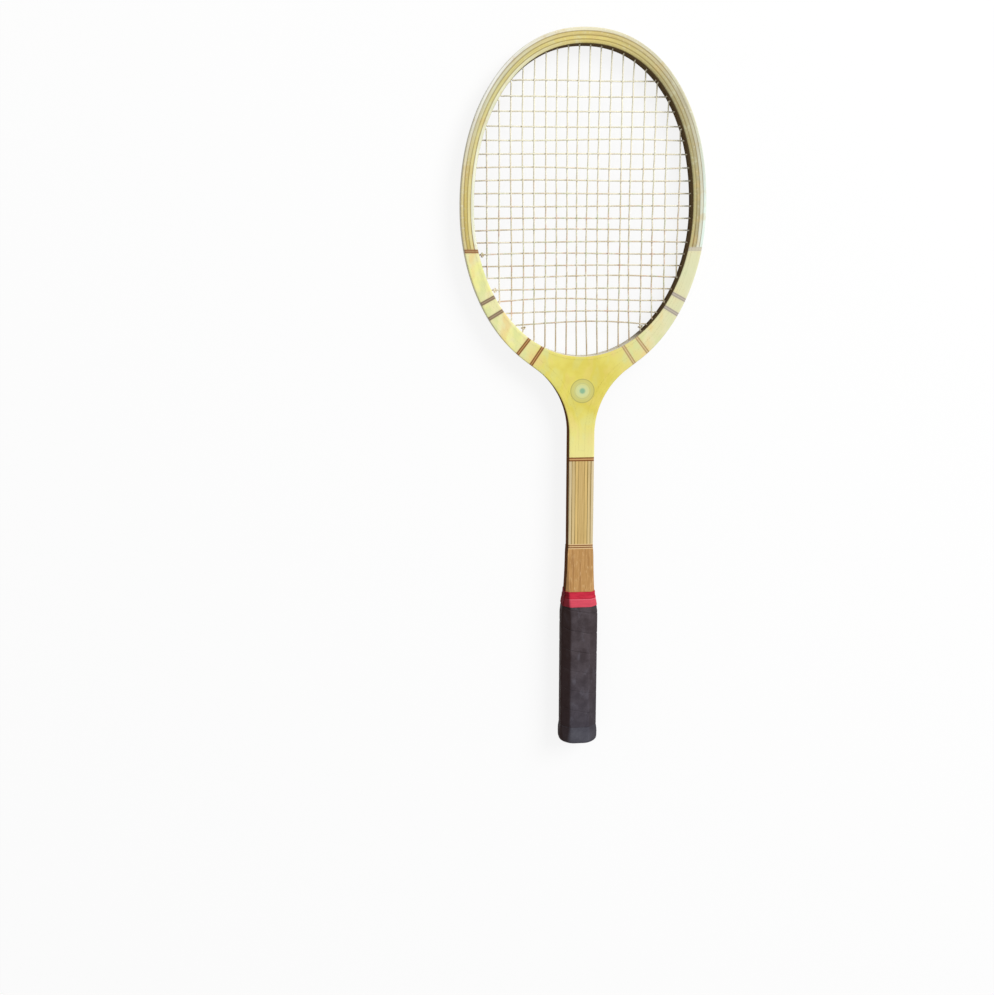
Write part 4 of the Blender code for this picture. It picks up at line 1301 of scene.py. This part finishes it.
main_pairs = [(main_tops[k], (main_turns if in_wedge[k] else main_lows)[k]) for k in range(MAINS)]
cross_pairs = list(zip(cross_lefts, cross_rights))
chance = np.random.default_rng(7)
main_drifts = chance.normal(0, (0.7, 0.45), (MAINS, 2)) * MM
cross_drifts = chance.normal(0, (0.6, 0.45), (CROSSES, 2)) * MM
cross_drifts[:, 0] += LOW_BOW * np.clip((np.arange(CROSSES) - 9) / 10, 0, 1)
crossed_y = strayed(cross_pairs, 0, cross_drifts, main_x)
crossed_x = strayed(main_pairs, 1, main_drifts, cross_y)
main_path = woven_length(main_pairs, 1, crossed_y, main_on_top, ROW_OFFSET, main_drifts)
cross_path = woven_length(cross_pairs, 0, crossed_x, -main_on_top.T, -ROW_OFFSET, cross_drifts)
gut = gut_finish("gut")
dress(string_tube("gut_mains", main_path), gut, "gut", "main_string")
dress(string_tube("gut_crosses", cross_path), gut, "gut", "cross_string")
for k, (path, ends, which, start) in enumerate((
    (main_path, main_lows, 3, 2.4 * MM), (main_path, main_lows, 14, 2.4 * MM),
    (cross_path, cross_lefts, 13, 1.5 * MM), (cross_path, cross_lefts, 16, 1.9 * MM),
)):
    dress(string_tube(f"tie_off_{k + 1}", hitch(path, ends[which]["point"], start)), gut, "gut")


# ------------------------------
# The table, the light and the camera. The racket lies on its butt's flare and on the tip's edge,
# on a plain pale surface, under a large soft lamp.

REST_BUTT = np.array([10.0, -16.65]) * MM
REST_TIP = np.array([684.0, -9.45]) * MM
TABLE_HALF = 4
TABLE_GLOW = 0.85
LAMP_PLACE = (2.2, 2.2, 2.6)
LAMP_AIM = (0, 0.35, 0)
CAMERA_PLACE = (-0.17694, 0.49966, 1.12225)
CAMERA_TURN = (
    (0.99631071, 0.02180919, -0.08300198),
    (-0.00367757, 0.9771318, 0.21260272),
    (0.08574057, -0.21151312, 0.97360708),
)
CAMERA_LENS = 42.84


def placed(name, data, place=None, turn=None):
    """An object in the scene for a mesh, a lamp or a camera, at a place and turned as given."""
    thing = bpy.data.objects.new(name, data)
    if place is not None:
        thing.matrix_world = Matrix.Translation(place) @ Matrix(turn).to_4x4()
    bpy.context.scene.collection.objects.link(thing)
    return thing


def table_point(x, y):
    """A point of the table's plane, which passes through the butt's flare and the tip's lower edge."""
    slope = (REST_TIP[1] - REST_BUTT[1]) / (REST_TIP[0] - REST_BUTT[0])
    return (x, y, REST_BUTT[1] + slope * (y - REST_BUTT[0]))


def looked_at(tree):
    """1 for what the camera sees, straight or in a gloss or through glass, 0 for light on its way round."""
    rays = tree.nodes.new("ShaderNodeLightPath").outputs
    kinds = "Camera", "Glossy", "Transmission"
    straight, gloss, glass = (Wire(tree, rays[f"Is {kind} Ray"]) for kind in kinds)
    return reckon("MAXIMUM", reckon("MAXIMUM", straight, gloss), glass)


table_mesh = bpy.data.meshes.new("table")
table_signs = (-1, -1), (1, -1), (1, 1), (-1, 1)
table_corners = [table_point(x * TABLE_HALF, y * TABLE_HALF) for x, y in table_signs]
table_mesh.from_pydata(table_corners, [], [(0, 1, 2, 3)])
table_paint = bpy.data.materials.new("table_white")
table_paint.use_nodes = True
table_mesh.materials.append(table_paint)
table_tree = table_paint.node_tree
table_shader = table_tree.nodes["Principled BSDF"]
table_seen = looked_at(table_tree)
for socket, value in (
    ("Roughness", 0.9), ("Specular IOR Level", 0.1),
    ("Base Color", blend(table_seen, (0.45, 0.45, 0.45, 1), (0.95, 0.95, 0.95, 1))),
):
    feed(table_shader.inputs[socket], value)
table_white = table_tree.nodes.new("ShaderNodeEmission")
coats = [Wire(table_tree, node.outputs[0]) for node in (table_shader, table_white)]
table_mix = wired("MixShader", {0: table_seen * TABLE_GLOW, 1: coats[0], 2: coats[1]})
feed(table_tree.nodes["Material Output"].inputs["Surface"], table_mix)
placed("table", table_mesh)

lamp = bpy.data.lights.new("window", "AREA")
lamp.energy = 112.0
lamp.size = 2.0
lamp_way = unit(np.array(LAMP_PLACE) - LAMP_AIM)
lamp_side = unit(np.cross([0, 1.0, 0.01], lamp_way))
lamp_turn = np.column_stack([lamp_side, np.cross(lamp_way, lamp_side), lamp_way])
placed("window", lamp, LAMP_PLACE, lamp_turn.tolist())

room = bpy.data.worlds.new("room")
bpy.context.scene.world = room
room.use_nodes = True
sky = room.node_tree.nodes["Background"]
sky.inputs["Color"].default_value = (1, 1, 1, 1)
feed(sky.inputs["Strength"], ramp(looked_at(room.node_tree), 0.0, 1.0, 0.5, 1.0))

eye = bpy.data.cameras.new("eye")
eye.sensor_width = 36.0
eye.lens = CAMERA_LENS
eye.clip_start = 0.01
bpy.context.scene.camera = placed("eye", eye, CAMERA_PLACE, CAMERA_TURN)
bpy.context.scene.view_settings.view_transform = "Standard"
